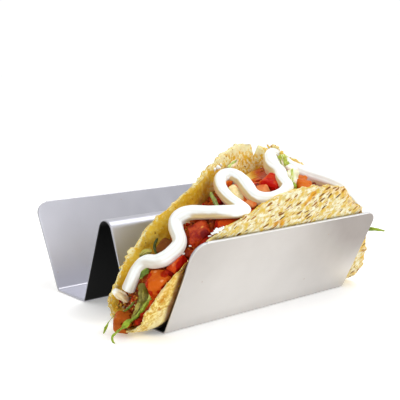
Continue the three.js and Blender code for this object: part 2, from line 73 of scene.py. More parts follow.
# Where each wall's rim stands higher or lower than the round disc, in mm and along the fold.
LEFT_RISES = [dict(height=2.6, start=-30, full=0, until=36, end=54)]
RIGHT_RISES = [dict(height=1.8, start=6, full=20, until=22, end=28),
               dict(height=-1, start=27, full=31, until=36, end=41),
               dict(height=-0.8, start=-62, full=-54, until=-22, end=-14),
               dict(height=-0.9, start=-40, full=-31, until=-24, end=-16)]
MOUTH_FLARE = dict(width=4.6, start=46, full=60, above=14)
LEAST_WALL = 14
LEAN_CURVE = 1.3
NOTCH = dict(place=11.6, width=4.4, depth=5.2)
GAP = 0.3

FOOT_X = V_BASE / 2 + SLOT_FLOOR
WALL_OFFSET = SHEET + GAP + SHELL_THICKNESS / 2
FOLD_Z = WALL_OFFSET + FOLD_RADIUS
RIGHT_ARC = FOLD_RADIUS * (math.pi / 2 - PLATE_LEAN)
LEFT_ARC = FOLD_RADIUS * math.pi / 2
WALL_FOOT_Z = FOLD_Z - FOLD_RADIUS * math.sin(PLATE_LEAN)
WALL_FOOT_X = FOOT_X + WALL_FOOT_Z * math.tan(PLATE_LEAN) - WALL_OFFSET / math.cos(PLATE_LEAN)
FOLD_X = WALL_FOOT_X - FOLD_RADIUS * math.cos(PLATE_LEAN)

HEAP_EDGE_NEAR = 51  # how far out the filling reaches on the left wall
HEAP_EDGE_FAR = 57.4


def smoothstep(x, low, high):
    part = np.clip((x - low) / (high - low), 0, 1)
    return part * part * (3 - 2 * part)


def hump(y, start, full, until, end, **_):
    return smoothstep(y, start, full) * (1 - smoothstep(y, until, end))


def to_world(points):
    return np.asarray(points, float) * MM + ORIGIN


def to_stand(points):
    return (np.asarray(points, float) - ORIGIN) / MM


# ---- noise ----
def cell_value(cells, seed):
    """A repeatable number from 0 to 1 for each whole-numbered cell."""
    mixed = (cells * np.array([73856093, 19349663, 83492791])).sum(axis=-1) + seed * 265443576
    mixed = (mixed ^ (mixed >> 13)) * 1274126177
    return ((mixed ^ (mixed >> 16)) & 0xFFFFFF) / 0xFFFFFF


def value_noise(points, size, seed):
    """Smooth noise from -1 to 1 with bumps of that size."""
    scaled = np.asarray(points, float) / size + 100 + 7.3 * seed
    cells = np.floor(scaled).astype(np.int64)
    part = scaled - cells
    part = part * part * (3 - 2 * part)
    total = np.zeros(len(cells))
    for corner in itertools.product((0, 1), repeat=3):
        weight = np.where(np.array(corner), part, 1 - part).prod(axis=-1)
        total += weight * cell_value(cells + np.array(corner), seed)
    return 2 * total - 1


def layered_noise(points, size, seed, layers=3):
    total = np.zeros(len(points))
    for layer in range(layers):
        total += value_noise(points, size / 2**layer, seed + layer) / 2**layer
    return total


def cell_distance(points, size, seed):
    """How far each point is from the nearest of scattered seeds, in seed spacings."""
    scaled = np.asarray(points, float) / size + 100
    cells = np.floor(scaled).astype(np.int64)
    nearest = np.full(len(cells), 9.0)
    for step in itertools.product((-1, 0, 1), repeat=3):
        cell = cells + np.array(step)
        seeds = np.stack([cell_value(cell, seed + axis) for axis in range(3)], axis=-1)
        nearest = np.minimum(nearest, np.linalg.norm(cell + seeds - scaled, axis=-1))
    return nearest


# ---- meshes ----
def tube_faces(rings, count):
    """Faces of a closed tube: rings of points, numbered ring by ring, and a cap at either end."""
    start, place = np.arange(rings - 1)[:, None] * count, np.arange(count)[None, :]
    after = (place + 1) % count
    corners = (start + place, start + after, start + count + after, start + count + place)
    sides = np.stack(corners, axis=-1).reshape(-1, 4).tolist()
    return sides + [list(range(count))[::-1], [(rings - 1) * count + i for i in range(count)]]


def facing_out(points, faces):
    """The faces, turned round if they enclose a negative volume."""
    corners = np.asarray(points, float)
    starts = [face[i:i + 2] for face in faces for i in range(1, len(face) - 1)]
    firsts = [face[0] for face in faces for _ in range(1, len(face) - 1)]
    one, two, three = corners[firsts], *(corners[[pair[k] for pair in starts]] for k in (0, 1))
    volume = np.einsum("ij,ij->i", one, np.cross(two, three)).sum()
    return faces if volume > 0 else [face[::-1] for face in faces]


def new_piece(name, points, faces, material, slot, *nodes):
    """A smooth mesh that rides on the stand, in mm, and stands for those nodes of the model."""
    faces = facing_out(points, faces)
    mesh = bpy.data.meshes.new(name)
    mesh.from_pydata(to_world(points).tolist(), [], faces)
    mesh.materials.append(material)
    mesh.update()
    mesh.shade_smooth()
    piece = bpy.data.objects.new(name, mesh)
    bpy.context.scene.collection.objects.link(piece)
    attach(piece, "root")
    if nodes:
        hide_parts(*nodes)
    return piece


def paint(piece, **masks):
    """Gives a piece's points named numbers that its material reads."""
    for name, values in masks.items():
        layer = piece.data.attributes.new(name, "FLOAT", "POINT")
        layer.data.foreach_set("value", np.asarray(values, np.float32))


def paint_vector(piece, name, vectors):
    layer = piece.data.attributes.new(name, "FLOAT_VECTOR", "POINT")
    layer.data.foreach_set("vector", np.asarray(vectors, np.float32).reshape(-1))


def read_vectors(rows, name):
    flat = np.zeros(3 * len(rows), np.float32)
    rows.foreach_get(name, flat)
    return flat.reshape(-1, 3).astype(float)


def mesh_points(mesh):
    return read_vectors(mesh.vertices, "co")


def mesh_normals(mesh):
    return read_vectors(mesh.vertex_normals, "vector")


def rounded_copy(node, voxel, smoothing):
    """Points, normals and faces of a node's solid with its edges softened, in mm."""
    copy = bpy.data.objects.new("copy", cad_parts[node].data.copy())
    bpy.context.scene.collection.objects.link(copy)
    remesh = copy.modifiers.new("remesh", "REMESH")
    remesh.mode = "VOXEL"
    remesh.voxel_size = voxel * MM
    smooth = copy.modifiers.new("smooth", "SMOOTH")
    smooth.factor = 0.5
    smooth.iterations = smoothing
    graph = bpy.context.evaluated_depsgraph_get()
    mesh = bpy.data.meshes.new_from_object(copy.evaluated_get(graph), depsgraph=graph)
    points, normals = mesh_points(mesh), mesh_normals(mesh)
    faces = [list(face.vertices) for face in mesh.polygons]
    bpy.data.objects.remove(copy)
    bpy.data.meshes.remove(mesh)
    return to_stand(points), normals, faces


# ---- shader helpers ----
class Shader:
    """A node material: each call adds one node and gives back its output."""

    def __init__(self, name, **settings):
        self.material = bpy.data.materials.new(name)
        self.material.use_nodes = True
        self.tree = self.material.node_tree
        self.surface = self.tree.nodes["Principled BSDF"]
        for socket, value in settings.items():
            self.surface.inputs[socket.replace("_", " ")].default_value = value

    def set(self, socket, source):
        self.tree.links.new(source, self.surface.inputs[socket])

    def add(self, kind, inputs=(), **settings):
        node = self.tree.nodes.new("ShaderNode" + kind)
        for name, value in settings.items():
            setattr(node, name, value)
        for key, value in dict(inputs).items():
            if isinstance(value, bpy.types.NodeSocket):
                self.tree.links.new(value, node.inputs[key])
            else:
                node.inputs[key].default_value = value
        return node

    def mask(self, name):
        return self.add("Attribute", attribute_name=name).outputs["Fac"]

    def vector(self, name):
        return self.add("Attribute", attribute_name=name).outputs["Vector"]

    def place(self, stretch=(1, 1, 1)):
        """The object's own coordinates in mm, stretched."""
        source = self.add("TexCoord").outputs["Object"]
        scale = tuple(1 / (MM * size) for size in stretch)
        return self.add("Mapping", {"Vector": source, "Scale": scale}).outputs["Vector"]

    def drawn_out(self, source, turn, stretch):
        """Coordinates turned by an angle and then stretched along their own axes."""
        turned = self.add("Mapping", {"Vector": source, "Rotation": (0, 0, -turn)})
        scale = tuple(1 / size for size in stretch)
        inputs = {"Vector": turned.outputs["Vector"], "Scale": scale}
        return self.add("Mapping", inputs).outputs["Vector"]

    def shift(self, source, distance):
        inputs = {"Vector": source, "Location": (distance, distance, distance)}
        return self.add("Mapping", inputs).outputs["Vector"]

    def noise(self, size, detail=2, roughness=0.5, vector=None):
        inputs = {"Vector": vector or self.place(), "Scale": 1 / size, "Detail": detail,
                  "Roughness": roughness}
        return self.add("TexNoise", inputs).outputs["Fac"]

    def cells(self, size, vector=None, flat=False):
        inputs = {"Vector": vector or self.place(), "Scale": 1 / size}
        return self.add("TexVoronoi", inputs, voronoi_dimensions="2D" if flat else "3D")

    def math(self, operation, *values):
        return self.add("Math", dict(enumerate(values)), operation=operation).outputs[0]

    def range(self, value, low, high, out_low=0, out_high=1):
        inputs = {"Value": value, "From Min": low, "From Max": high, "To Min": out_low,
                  "To Max": out_high}
        return self.add("MapRange", inputs, interpolation_type="SMOOTHSTEP").outputs[0]

    def mix(self, share, low, high):
        """A colour between two colours, each a tuple or a node's output."""
        node = self.add("Mix", data_type="RGBA")
        for index, value in ((0, share), (6, low), (7, high)):
            if isinstance(value, bpy.types.NodeSocket):
                self.tree.links.new(value, node.inputs[index])
            else:
                node.inputs[index].default_value = (*value, 1) if index else value
        return node.outputs[2]

    def bump(self, *layers):
        """Relief from (height, depth in mm) layers, finest last."""
        normal = None
        for height, depth in layers:
            inputs = {"Height": height, "Distance": depth * MM, "Strength": 1.0}
            if normal:
                inputs["Normal"] = normal
            normal = self.add("Bump", inputs).outputs["Normal"]
        self.set("Normal", normal)


def srgb(red, green, blue):
    """A colour as it looks on screen, from 0 to 255, turned into linear light."""
    def linear(value):
        share = value / 255
        return share / 12.92 if share <= 0.04045 else ((share + 0.055) / 1.055) ** 2.4
    return linear(red), linear(green), linear(blue)


# ---- the camera, light and floor ----
CAMERA_PLACE = (269.5, -230.8, 100.0)
CAMERA_TURN = math.radians(49.52)
CAMERA_TILT = math.radians(9.52)
LENS = 73.54
RIGHT_WARD = (0.65, 0.76, 0)  # level, and to the right as the camera sees it
BACKDROP_SIDE = (-0.6, 0.55, 0.55)  # the world is brightest towards here
WORLD_DIM, WORLD_BRIGHT = 0.3, 1.05
FLOOR_GLOW = 0.2
FLOOR_HALF = 6000
LIT_PLACE = (30, 0, 30)
# Each light: its middle, its width and height, its power.
LIGHTS = dict(top=((40, 200, 420), (240, 240), 0.45), right=((430, 60, 270), (260, 260), 0.7),
              front=((200, -400, 260), (260, 200), 0.45))


def make_camera():
    data = bpy.data.cameras.new("camera")
    data.sensor_width = 36
    data.lens = LENS
    data.clip_start = 0.01
    camera = bpy.data.objects.new("camera", data)
    camera.location = to_world(CAMERA_PLACE)
    camera.rotation_euler = (math.pi / 2 - CAMERA_TILT, 0, CAMERA_TURN)
    bpy.context.scene.collection.objects.link(camera)
    bpy.context.scene.camera = camera


def make_light(name, middle, size, power):
    data = bpy.data.lights.new(name, "AREA")
    data.shape = "RECTANGLE"
    data.size, data.size_y = (side * MM for side in size)
    data.energy = power
    light = bpy.data.objects.new(name, data)
    light.location = to_world(middle)
    aim = Vector(to_world(LIT_PLACE)) - light.location
    light.rotation_euler = aim.to_track_quat("-Z", "Y").to_euler()
    bpy.context.scene.collection.objects.link(light)


def make_world():
    world = bpy.data.worlds.new("studio")
    world.use_nodes = True
    nodes, links = world.node_tree.nodes, world.node_tree.links
    toward = nodes.new("ShaderNodeVectorMath")
    toward.operation = "DOT_PRODUCT"
    toward.inputs[1].default_value = Vector(BACKDROP_SIDE).normalized()
    links.new(nodes.new("ShaderNodeTexCoord").outputs["Generated"], toward.inputs[0])
    fade = nodes.new("ShaderNodeMapRange")
    fade.interpolation_type = "SMOOTHSTEP"
    limits = {"From Min": -0.35, "From Max": 0.55, "To Min": WORLD_DIM, "To Max": WORLD_BRIGHT}
    for socket, value in limits.items():
        fade.inputs[socket].default_value = value
    links.new(toward.outputs["Value"], fade.inputs["Value"])
    background = nodes["Background"]
    background.inputs["Color"].default_value = (1, 1, 1, 1)
    links.new(fade.outputs["Result"], background.inputs["Strength"])
    bpy.context.scene.world = world
    bpy.context.scene.view_settings.view_transform = "Standard"


def make_surroundings():
    make_world()
    for name, light in LIGHTS.items():
        make_light(name, *light)
    shader = Shader("floor_white", Roughness=0.9, Specular_IOR_Level=0.1,
                    Emission_Color=(1, 1, 1, 1), Emission_Strength=FLOOR_GLOW)
    shader.set("Base Color", shader.mix(shader.noise(60), srgb(250, 250, 250), srgb(253, 253, 252)))
    corners = FLOOR_HALF * np.array([(-1, -1, 0), (1, -1, 0), (1, 1, 0), (-1, 1, 0)])
    mesh = bpy.data.meshes.new("floor")
    mesh.from_pydata(to_world(corners).tolist(), [], [(0, 1, 2, 3)])
    mesh.materials.append(shader.material)
    floor = bpy.data.objects.new("floor", mesh)
    bpy.context.scene.collection.objects.link(floor)


# ---- materials ----
def steel_material():
    """Satin stainless sheet, with painted reflection greyer on the outer plate's far top corner and
    painted shade in the fold.
    """
    shader = Shader("satin_steel", Metallic=1.0)
    brushed = shader.noise(0.25, 3, 0.6, shader.place(stretch=(1, 30, 1)))
    cloud = shader.noise(22, 3, 0.5)
    place = shader.add("SeparateXYZ", {0: shader.place()}).outputs
    outer = shader.mask("outer")
    # painted reflection and shade on the outer plates: greyer towards the top, the far end, the
    # near end and the foot, and cloudy
    top = shader.math("MULTIPLY", shader.range(place[2], 8, 42),
                      shader.range(place[1], -20, 20, 0.28, 0.42))
    far = shader.math("MULTIPLY", shader.range(place[1], -2, 48, 0, 0.46),
                      shader.range(place[2], 2, 22, 0.3, 1))
    near = shader.range(place[1], -56, -20, 0.15, 0)
    foot = shader.range(place[2], 1, 6, 0.1, 0)
    shade = shader.math("MULTIPLY_ADD", shader.math("SUBTRACT", cloud, 0.5), 0.14, 0.3)
    for part in (top, far, near, foot):
        shade = shader.math("ADD", shade, part)
    plain = shader.mix(cloud, srgb(172, 172, 180), srgb(188, 188, 196))
    plate = shader.mix(shade, srgb(245, 243, 240), srgb(150, 143, 138))
    base = shader.mix(outer, plain, plate)
    specks = shader.range(shader.cells(9).outputs["Distance"], 0.05, 0.025)
    base = shader.mix(shader.math("MULTIPLY", specks, 0.5), base, srgb(170, 140, 118))
    # painted shade: near black under the V and on the upper side of the slots' floors (mask fold)
    base = shader.mix(shader.mask("fold"), base, (0.02, 0.02, 0.02))
    # painted highlight: the sheet's top edge is made pale and barely metallic, so it shows as a
    # bright line
    edge = shader.mask("edge")
    shader.set("Base Color", shader.mix(edge, base, srgb(222, 222, 222)))
    shader.set("Metallic", shader.range(edge, 0, 0.5, 1, 0.15))
    shader.set("Roughness", shader.range(shader.noise(9, 4, 0.6), 0.3, 0.7, 0.3, 0.4))
    shader.bump((brushed, 0.008))
    return shader.material


STREAK_TURN = 0.98  # the griddle's marks run up and away from the mouth at this angle
MARK_EDGE = 0.09  # how soft a mark's edge is, in cells
# Marks: cell size along and across in mm, chances from which one grows, greatest reach in cells,
# strength, darkest and lightest colour.
MARKS = [((2.8, 1.0), (0.7, 0.86), 0.38, 0.85, srgb(150, 94, 20), srgb(206, 154, 50)),
         ((4.0, 1.3), (0.74, 0.88), 0.42, 1, srgb(74, 38, 2), srgb(166, 106, 24))]


def shell_material():
    """Fried corn tortilla; the coordinates are those of the flat disc, in mm."""
    shader = Shader("corn_shell", Subsurface_Weight=0.1, Subsurface_Scale=0.0015,
                    Subsurface_Radius=(1.0, 0.6, 0.25), Roughness=0.55, Specular_IOR_Level=0.12)
    disc = shader.vector("disc")
    grain = shader.noise(1.3, 4, 0.65, disc)
    patch = shader.noise(5.5, 3, 0.55, disc)
    # inside: yellow corn with cream flecks and a few brown spots
    inside = shader.mix(shader.range(patch, 0.34, 0.64), srgb(224, 176, 38), srgb(240, 204, 74))
    cream = shader.math("MULTIPLY_ADD", patch, 0.35, grain)
    cream = shader.math("MULTIPLY_ADD", shader.mask("pale"), 0.08, cream)
    flecked = shader.mix(shader.mask("pale"), srgb(236, 208, 100), srgb(244, 236, 184))
    inside = shader.mix(shader.range(cream, 0.66, 0.84), inside, flecked)
    brown = shader.range(shader.noise(2.4, 2, 0.5, shader.shift(disc, 50)), 0.68, 0.75)
    inside = shader.mix(brown, inside, srgb(170, 112, 34))
    # outside: cream, drawn out a little along the griddle's marks, with yellow mottling
    drawn = shader.drawn_out(disc, STREAK_TURN, (1.7, 1, 1))
    flecks = shader.noise(1.5, 4, 0.65, drawn)
    outside = shader.mix(shader.range(flecks, 0.36, 0.6), srgb(204, 184, 112), srgb(234, 230, 204))
    yellow = shader.range(shader.noise(3.2, 5, 0.65, shader.shift(disc, 90)), 0.46, 0.6)
    outside = shader.mix(shader.math("MULTIPLY", yellow, 0.85), outside, srgb(212, 176, 52))
    base = shader.mix(shader.mask("outside"), inside, outside)
    golden = shader.mix(shader.range(grain, 0.42, 0.6), srgb(208, 164, 58), srgb(242, 226, 150))
    golden = shader.mix(shader.range(patch, 0.48, 0.6, 0, 0.75), golden, srgb(240, 228, 178))
    base = shader.mix(shader.mask("mouth"), base, golden)
    # where it soaked: golden brown further out, orange red by the filling
    soak = shader.mask("soak")
    base = shader.mix(shader.range(soak, 0.05, 0.6), base,
                      shader.mix(grain, srgb(204, 144, 30), srgb(230, 180, 56)))
    base = shader.mix(shader.range(soak, 0.55, 1.0), base,
                      shader.mix(grain, srgb(196, 70, 14), srgb(226, 116, 30)))
    # mask shade: painted shade beside the plate's front edge, and the sauce stains by the mouth
    # made darker
    base = shader.mix(shader.mask("shade"), base, srgb(104, 40, 12))
    stained = shader.mix(shader.range(grain, 0.4, 0.6), srgb(196, 126, 14), srgb(218, 160, 36))
    base = shader.mix(shader.mask("stain"), base, stained)
    # the griddle's marks: a cell has one if its chance, raised where it is toasted, is high
    toast = shader.math("SUBTRACT", shader.mask("toast"), 0.5)
    for cell, (low, high), reach, weight, dark, light in MARKS:
        cells = shader.cells(1, shader.drawn_out(disc, STREAK_TURN, (*cell, 1)), flat=True)
        chance = shader.add("SeparateColor", {0: cells.outputs["Color"]}).outputs
        raised = shader.math("ADD", chance[0], toast)
        size = shader.range(raised, low, high, 0, reach)
        inner = shader.math("SUBTRACT", size, cells.outputs["Distance"])
        mark = shader.math("MULTIPLY", shader.range(inner, 0, MARK_EDGE), weight)
        base = shader.mix(mark, base, shader.mix(chance[1], dark, light))
    # painted shade: near black where the shell lies in the dark between the plate and the floor
    base = shader.mix(shader.mask("under"), base, srgb(16, 8, 4))
    shader.set("Base Color", base)
    shader.bump((shader.noise(2.4, 3, 0.55, disc), 0.4), (grain, 0.3))
    return shader.material


def crema_material():
    # painted light: a faint white glow (Emission) lifts the crema's shaded sides
    shader = Shader("crema_white", Subsurface_Weight=0.15, Subsurface_Scale=0.001,
                    Subsurface_Radius=(1.0, 1.0, 1.0), Roughness=0.3, Specular_IOR_Level=0.3,
                    Emission_Color=(1, 1, 1, 1), Emission_Strength=0.1)
    tint = shader.mix(shader.noise(4), srgb(232, 238, 236), srgb(241, 246, 245))
    # painted shade: greyer in the grooves between the piped ridges
    groove = shader.math("MULTIPLY", shader.mask("groove"), 0.6)
    tint = shader.mix(groove, tint, srgb(220, 213, 200))
    # painted shade: sides turned from the light (mask low) tint tan as by the shell's reflected
    # light
    wander = shader.math("MULTIPLY_ADD", shader.noise(2.5), 0.16, shader.mask("low"))
    tan = shader.mix(shader.range(wander, 0.82, 1.0), srgb(194, 168, 98), srgb(198, 142, 62))
    # painted shade: by the mouth, sides turned from the light (mask turned) go grey
    grey_shade = shader.math("MULTIPLY_ADD", shader.noise(5, 2), 0.3, shader.mask("turned"))
    tint = shader.mix(shader.range(grey_shade, 0.2, 0.62, 0, 0.95), tint, srgb(200, 194, 178))
    shader.set("Base Color", shader.mix(shader.range(wander, 0.3, 0.58), tint, tan))
    shader.bump((shader.noise(1.6, 2), 0.05))
    return shader.material


def tomato_material(name, flesh, deep):
    """Cut tomato: flesh with paler threads that turns deeper towards its skin and its edges and
    under painted shade, and pale at painted highlights.
    """
    shader = Shader(name, Subsurface_Weight=0.1, Subsurface_Scale=0.0015,
                    Subsurface_Radius=(1.0, 0.3, 0.1), Roughness=0.2, Specular_IOR_Level=0.04)
    cloud = shader.range(shader.noise(3.0, 4, 0.6), 0.3, 0.7)
    threads = shader.range(shader.noise(1.4, 3, 0.6, shader.place(stretch=(1, 1, 2.5))), 0.54, 0.8)
    pale = tuple(0.6 * a + 0.4 * b for a, b in zip(flesh, srgb(240, 160, 76)))
    pulp = shader.mix(shader.math("MULTIPLY", threads, 0.6), flesh, pale)
    skin = shader.mask("skin")
    depth = shader.math("MULTIPLY_ADD", cloud, 0.5, skin)
    base = shader.mix(shader.range(depth, 0.16, 0.9), pulp, deep)
    # painted highlights: where the mask skin is below 0, the flesh turns pale
    base = shader.mix(shader.range(skin, 0, -0.6, 0, 0.7), base, srgb(238, 168, 112))
    shader.set("Base Color", base)
    shader.set("Roughness", shader.range(shader.noise(1.8, 2), 0.35, 0.65, 0.12, 0.3))
    shader.bump((shader.noise(2.2, 2), 0.3), (shader.noise(1.0, 3, 0.6), 0.14))
    return shader.material


def pulp_material():
    """The wet middle of a tomato: deep red and orange, with yellow seeds."""
    shader = Shader("tomato_pulp", Subsurface_Weight=0.2, Subsurface_Scale=0.0015,
                    Subsurface_Radius=(1.0, 0.3, 0.1), Roughness=0.15, Specular_IOR_Level=0.15)
    cloud = shader.noise(3.0, 4, 0.6)
    base = shader.mix(shader.range(cloud, 0.36, 0.62), srgb(148, 22, 10), srgb(196, 74, 28))
    # deeper red on the skin side, and painted shade where the spots add to the mask
    base = shader.mix(shader.range(shader.mask("skin"), 0.1, 0.8), base, srgb(118, 8, 6))
    seeds = shader.cells(1, shader.place(stretch=(1.5, 2.6, 1.5)))
    chance = shader.add("SeparateColor", {0: seeds.outputs["Color"]}).outputs[0]
    grown = shader.range(chance, 0.72, 0.86, 0, 0.4)
    inner = shader.math("SUBTRACT", grown, seeds.outputs["Distance"])
    base = shader.mix(shader.range(inner, 0, 0.3), base, srgb(220, 160, 72))
    shader.set("Base Color", base)
    shader.bump((shader.noise(2.0, 2), 0.4), (shader.noise(0.9, 3, 0.6), 0.2))
    return shader.material


def flesh_material():
    """A slice of tomato wall: pale cream inside, with an orange skin round it."""
    shader = Shader("tomato_slice", Subsurface_Weight=0.3, Subsurface_Scale=0.002,
                    Subsurface_Radius=(1.0, 0.5, 0.2), Roughness=0.25, Specular_IOR_Level=0.3)
    wander = shader.math("MULTIPLY_ADD", shader.noise(1.5), 0.24, shader.mask("rim"))
    cream = shader.mix(shader.noise(1.2, 3), srgb(228, 200, 120), srgb(246, 236, 190))
    skin = shader.mix(shader.noise(2), srgb(220, 80, 24), srgb(240, 130, 50))
    shader.set("Base Color", shader.mix(shader.range(wander, 0.86, 1.06), cream, skin))
    shader.bump((shader.noise(0.9, 2), 0.1))
    return shader.material


def leaf_material(name, green, pale, striped=0.52):
    shader = Shader(name, Subsurface_Weight=0.3, Subsurface_Scale=0.0008,
                    Subsurface_Radius=(0.5, 1.0, 0.2), Roughness=0.4, Specular_IOR_Level=0.3)
    stripes = shader.noise(1.1, 3, 0.6, shader.drawn_out(shader.vector("leaf"), 0, (5, 1, 1)))
    dark = tuple(0.5 * part for part in green)
    leafy = shader.mix(shader.range(shader.noise(2.4, 3, 0.6), 0.35, 0.6), dark, green)
    leafy = shader.mix(shader.range(stripes, striped, striped + 0.14), leafy, pale)
    shader.set("Base Color", shader.mix(shader.mask("rib"), leafy, srgb(238, 240, 208)))
    shader.bump((stripes, 0.15))
    return shader.material


def onion_material():
    shader = Shader("onion_soft", Subsurface_Weight=0.5, Subsurface_Scale=0.003,
                    Subsurface_Radius=(1.0, 0.85, 0.6), Roughness=0.25, Specular_IOR_Level=0.4)
    blend = shader.range(shader.noise(3.4, 2, 0.5), 0.4, 0.68)
    base = shader.mix(blend, srgb(226, 206, 164), srgb(240, 231, 208))
    shader.set("Base Color", shader.mix(shader.mask("tip"), base, srgb(252, 250, 242)))
    shader.bump((shader.noise(1.4, 2), 0.2))
    return shader.material


def mince_material(name, deep, brown, bits):
    """Browned mince in red sauce, with orange and yellow bits."""
    shader = Shader(name, Subsurface_Weight=0.08, Subsurface_Scale=0.001,
                    Subsurface_Radius=(1.0, 0.4, 0.2), Roughness=0.3, Specular_IOR_Level=0.14)
    lumps = shader.noise(3.0, 3, 0.6)
    base = shader.mix(shader.range(lumps, 0.36, 0.62), deep, brown)
    fleck = shader.noise(1.2, 2, 0.5)
    base = shader.mix(shader.range(fleck, 0.58, 0.68), base, bits)
    ruddy = shader.mask("ruddy")
    sauce = shader.mix(shader.range(ruddy, 0, 0.5), srgb(236, 214, 130), srgb(222, 160, 48))
    sauce = shader.mix(shader.range(ruddy, 0.42, 1), sauce, srgb(186, 58, 18))
    shader.set("Base Color", shader.mix(shader.mask("sauce"), base, sauce))
    shader.bump((shader.noise(1.3, 3, 0.6), 0.3))
    return shader.material


def bits_material(name, shades, dimmest=0.65):
    """Small bits, each of its own colour: shades are (share from which it holds, colour)."""
    shader = Shader(name, Subsurface_Weight=0.15, Subsurface_Scale=0.001,
                    Subsurface_Radius=(1.0, 0.5, 0.2), Roughness=0.35, Specular_IOR_Level=0.15)
    kind = shader.mask("kind")
    colour = shades[0][1]
    for share, shade in shades[1:]:
        colour = shader.mix(shader.math("GREATER_THAN", kind, share), colour, shade)
    dim = shader.add("HueSaturation", {"Color": colour, "Value": dimmest}).outputs[0]
    shader.set("Base Color", shader.mix(shader.range(shader.noise(0.9, 2), 0.35, 0.6), dim, colour))
    shader.bump((shader.noise(0.7, 2), 0.15))
    return shader.material


# ---- the stand ----
def bent_line(corners, steps):
    """(x, z, angle) along a line whose corners, (x, z, radius), are rounded."""
    stations = []
    for i in range(1, len(corners) - 1):
        (x0, z0, _), (x, z, radius), (x1, z1, _) = corners[i - 1:i + 2]
        angle_in = math.atan2(z - z0, x - x0)
        angle_out = math.atan2(z1 - z, x1 - x)
        turn = angle_out - angle_in
        setback = radius * math.tan(abs(turn) / 2)
        reach = math.copysign(radius, turn)
        middle_x = x - setback * math.cos(angle_in) - reach * math.sin(angle_in)
        middle_z = z - setback * math.sin(angle_in) + reach * math.cos(angle_in)
        for k in range(steps + 1):
            angle = angle_in + turn * k / steps
            stations.append((middle_x + reach * math.sin(angle),
                             middle_z - reach * math.cos(angle), angle))
    return stations


def stand_ring(x, z, angle, length, thick):
    """The sheet's cross-section at one place along its bends: its upper side, then its lower."""
    steps = 4
    round_size = min(0.3, 0.49 * thick)
    flat = length / 2 - round_size
    quarter = [(flat + round_size * math.sin(a), thick / 2 - round_size * (1 - math.cos(a)))
               for a in (math.pi / 2 * k / steps for k in range(steps + 1))]
    half_ring = [(flat - 0.4, thick / 2)] + quarter
    upper = [(-y, out) for y, out in half_ring[::-1]] + half_ring
    lower = [(-y, -out) for y, out in upper]
    return [(x - out * math.sin(angle), y, z + out * math.cos(angle)) for y, out in upper + lower]


def plate_end(slant, along_plate):
    """Stations from the last bend up the plate, over its rounded corners and top edge."""
    top_round = 0.4
    arc = PLATE_CORNER - top_round
    stretch = [(4.5, 0, 0), (slant - PLATE_CORNER - 0.6, 0, 0)]
    for k in range(9):
        angle = math.pi / 2 * k / 8
        stretch.append((slant - PLATE_CORNER + arc * math.sin(angle),
                        arc * (1 - math.cos(angle)), 0))
    for k in range(1, 5):
        angle = math.pi / 2 * k / 4
        stretch.append((slant - top_round * (1 - math.sin(angle)), arc,
                        2 * top_round * (1 - math.cos(angle))))
    return [(*along_plate(along), RACK_LENGTH - 2 * inset, SHEET - thinner)
            for along, inset, thinner in stretch]


def make_stand(material):
    half = SHEET / 2
    foot_x = FOOT_X + half * math.tan(PLATE_LEAN) - half / math.cos(PLATE_LEAN)
    slant = PLATE_SLANT - half * math.tan(PLATE_LEAN)
    steep = math.pi / 2 - PLATE_LEAN

    def along_plate(along):
        return foot_x + along * math.cos(steep), half + along * math.sin(steep), steep

    apex_z = half + V_BASE / 2 / math.tan(V_LEAN)
    right = [(0, apex_z, APEX_BEND), (V_BASE / 2, half, FOOT_BEND), (foot_x, half, FOOT_BEND),
             (*along_plate(slant)[:2], 0)]
    left = [(-x, z, radius) for x, z, radius in right[:0:-1]]
    stations = [(*place, RACK_LENGTH, SHEET) for place in bent_line(left + right, 14)]
    ends = plate_end(slant, along_plate)
    mirrored = [(-x, z, -angle, length, thick) for x, z, angle, length, thick in ends[::-1]]
    stations = mirrored + stations + ends
    rings = [stand_ring(*station) for station in stations]
    count = len(rings[0])
    faces = tube_faces(len(rings), count)
    points = [point for ring in rings for point in ring]
    stand = new_piece("stand", points, faces, material, "steel", "rack")
    middle_x = np.repeat([abs(station[0]) for station in stations], count)
    beneath = np.tile([0.0] * (count // 2) + [1.0] * (count // 2), len(rings))
    side = np.repeat([station[0] for station in stations], count)
    # painted shade on the upper side of the slots' floors, between the V and the plates' feet
    under = (1 - beneath) * (side > V_BASE / 2 + 2) * (side < FOOT_X + 2)
    to_edge = [0, 0, *(k / 8 for k in range(9)), 1, 1, 1, 1]  # how much of the edge each ring has
    to_edge = np.array(to_edge[::-1] + [0] * (len(stations) - 2 * len(ends)) + to_edge)[:, None]
    beside = np.tile([1.0] * 5 + [0.0] * 2 + [1.0] * 5, 2)  # the rings' rounded sides
    # painted highlight along the plates' top edges and the sides of their rounded corners
    edge_highlight = np.where(to_edge == 1, 1, to_edge * beside).reshape(-1) * beneath
    # painted shade (fold): the V's underside and the slots' floors are darkened to near black
    paint(stand, outer=beneath * (middle_x > FOOT_X - 1.5), edge=edge_highlight,
          fold=np.maximum(beneath * (middle_x < V_BASE / 2), under))


# ---- the shell ----
# How far the left wall's rim stands to the right (+) or left of its foot, along the fold.
LEFT_RIM = [(-64, -4), (-60, -2), (-52, 3), (-40, 9), (-32, 10.5), (-22, 7.3), (-10, 2.6),
            (5, -3.6), (18, -3.2), (35, 3.5), (50, 4), (64, 1)]
# Orange stains of the sauce on the outside of the right wall: (along the fold, up the wall, size).
STAINS = [(4.6, 57.4, 1.6), (3.0, 55.6, 1.7), (1.4, 53.8, 1.4), (-11, 45.8, 1.5), (-8, 46.4, 1.8),
          (-56.8, 14.8, 0.9), (-56.6, 18.7, 1.1), (-56, 20.6, 0.8)]


def left_bow(y):
    bow = np.full(y.shape, float(LEFT_RIM[0][1]))
    for (y0, bow0), (y1, bow1) in zip(LEFT_RIM, LEFT_RIM[1:]):
        bow = np.where(y > y0, bow0 + (bow1 - bow0) * smoothstep(y, y0, y1), bow)
    return bow


def half_chord(radius, y):
    return np.sqrt(np.maximum(radius * radius - y * y, 0))


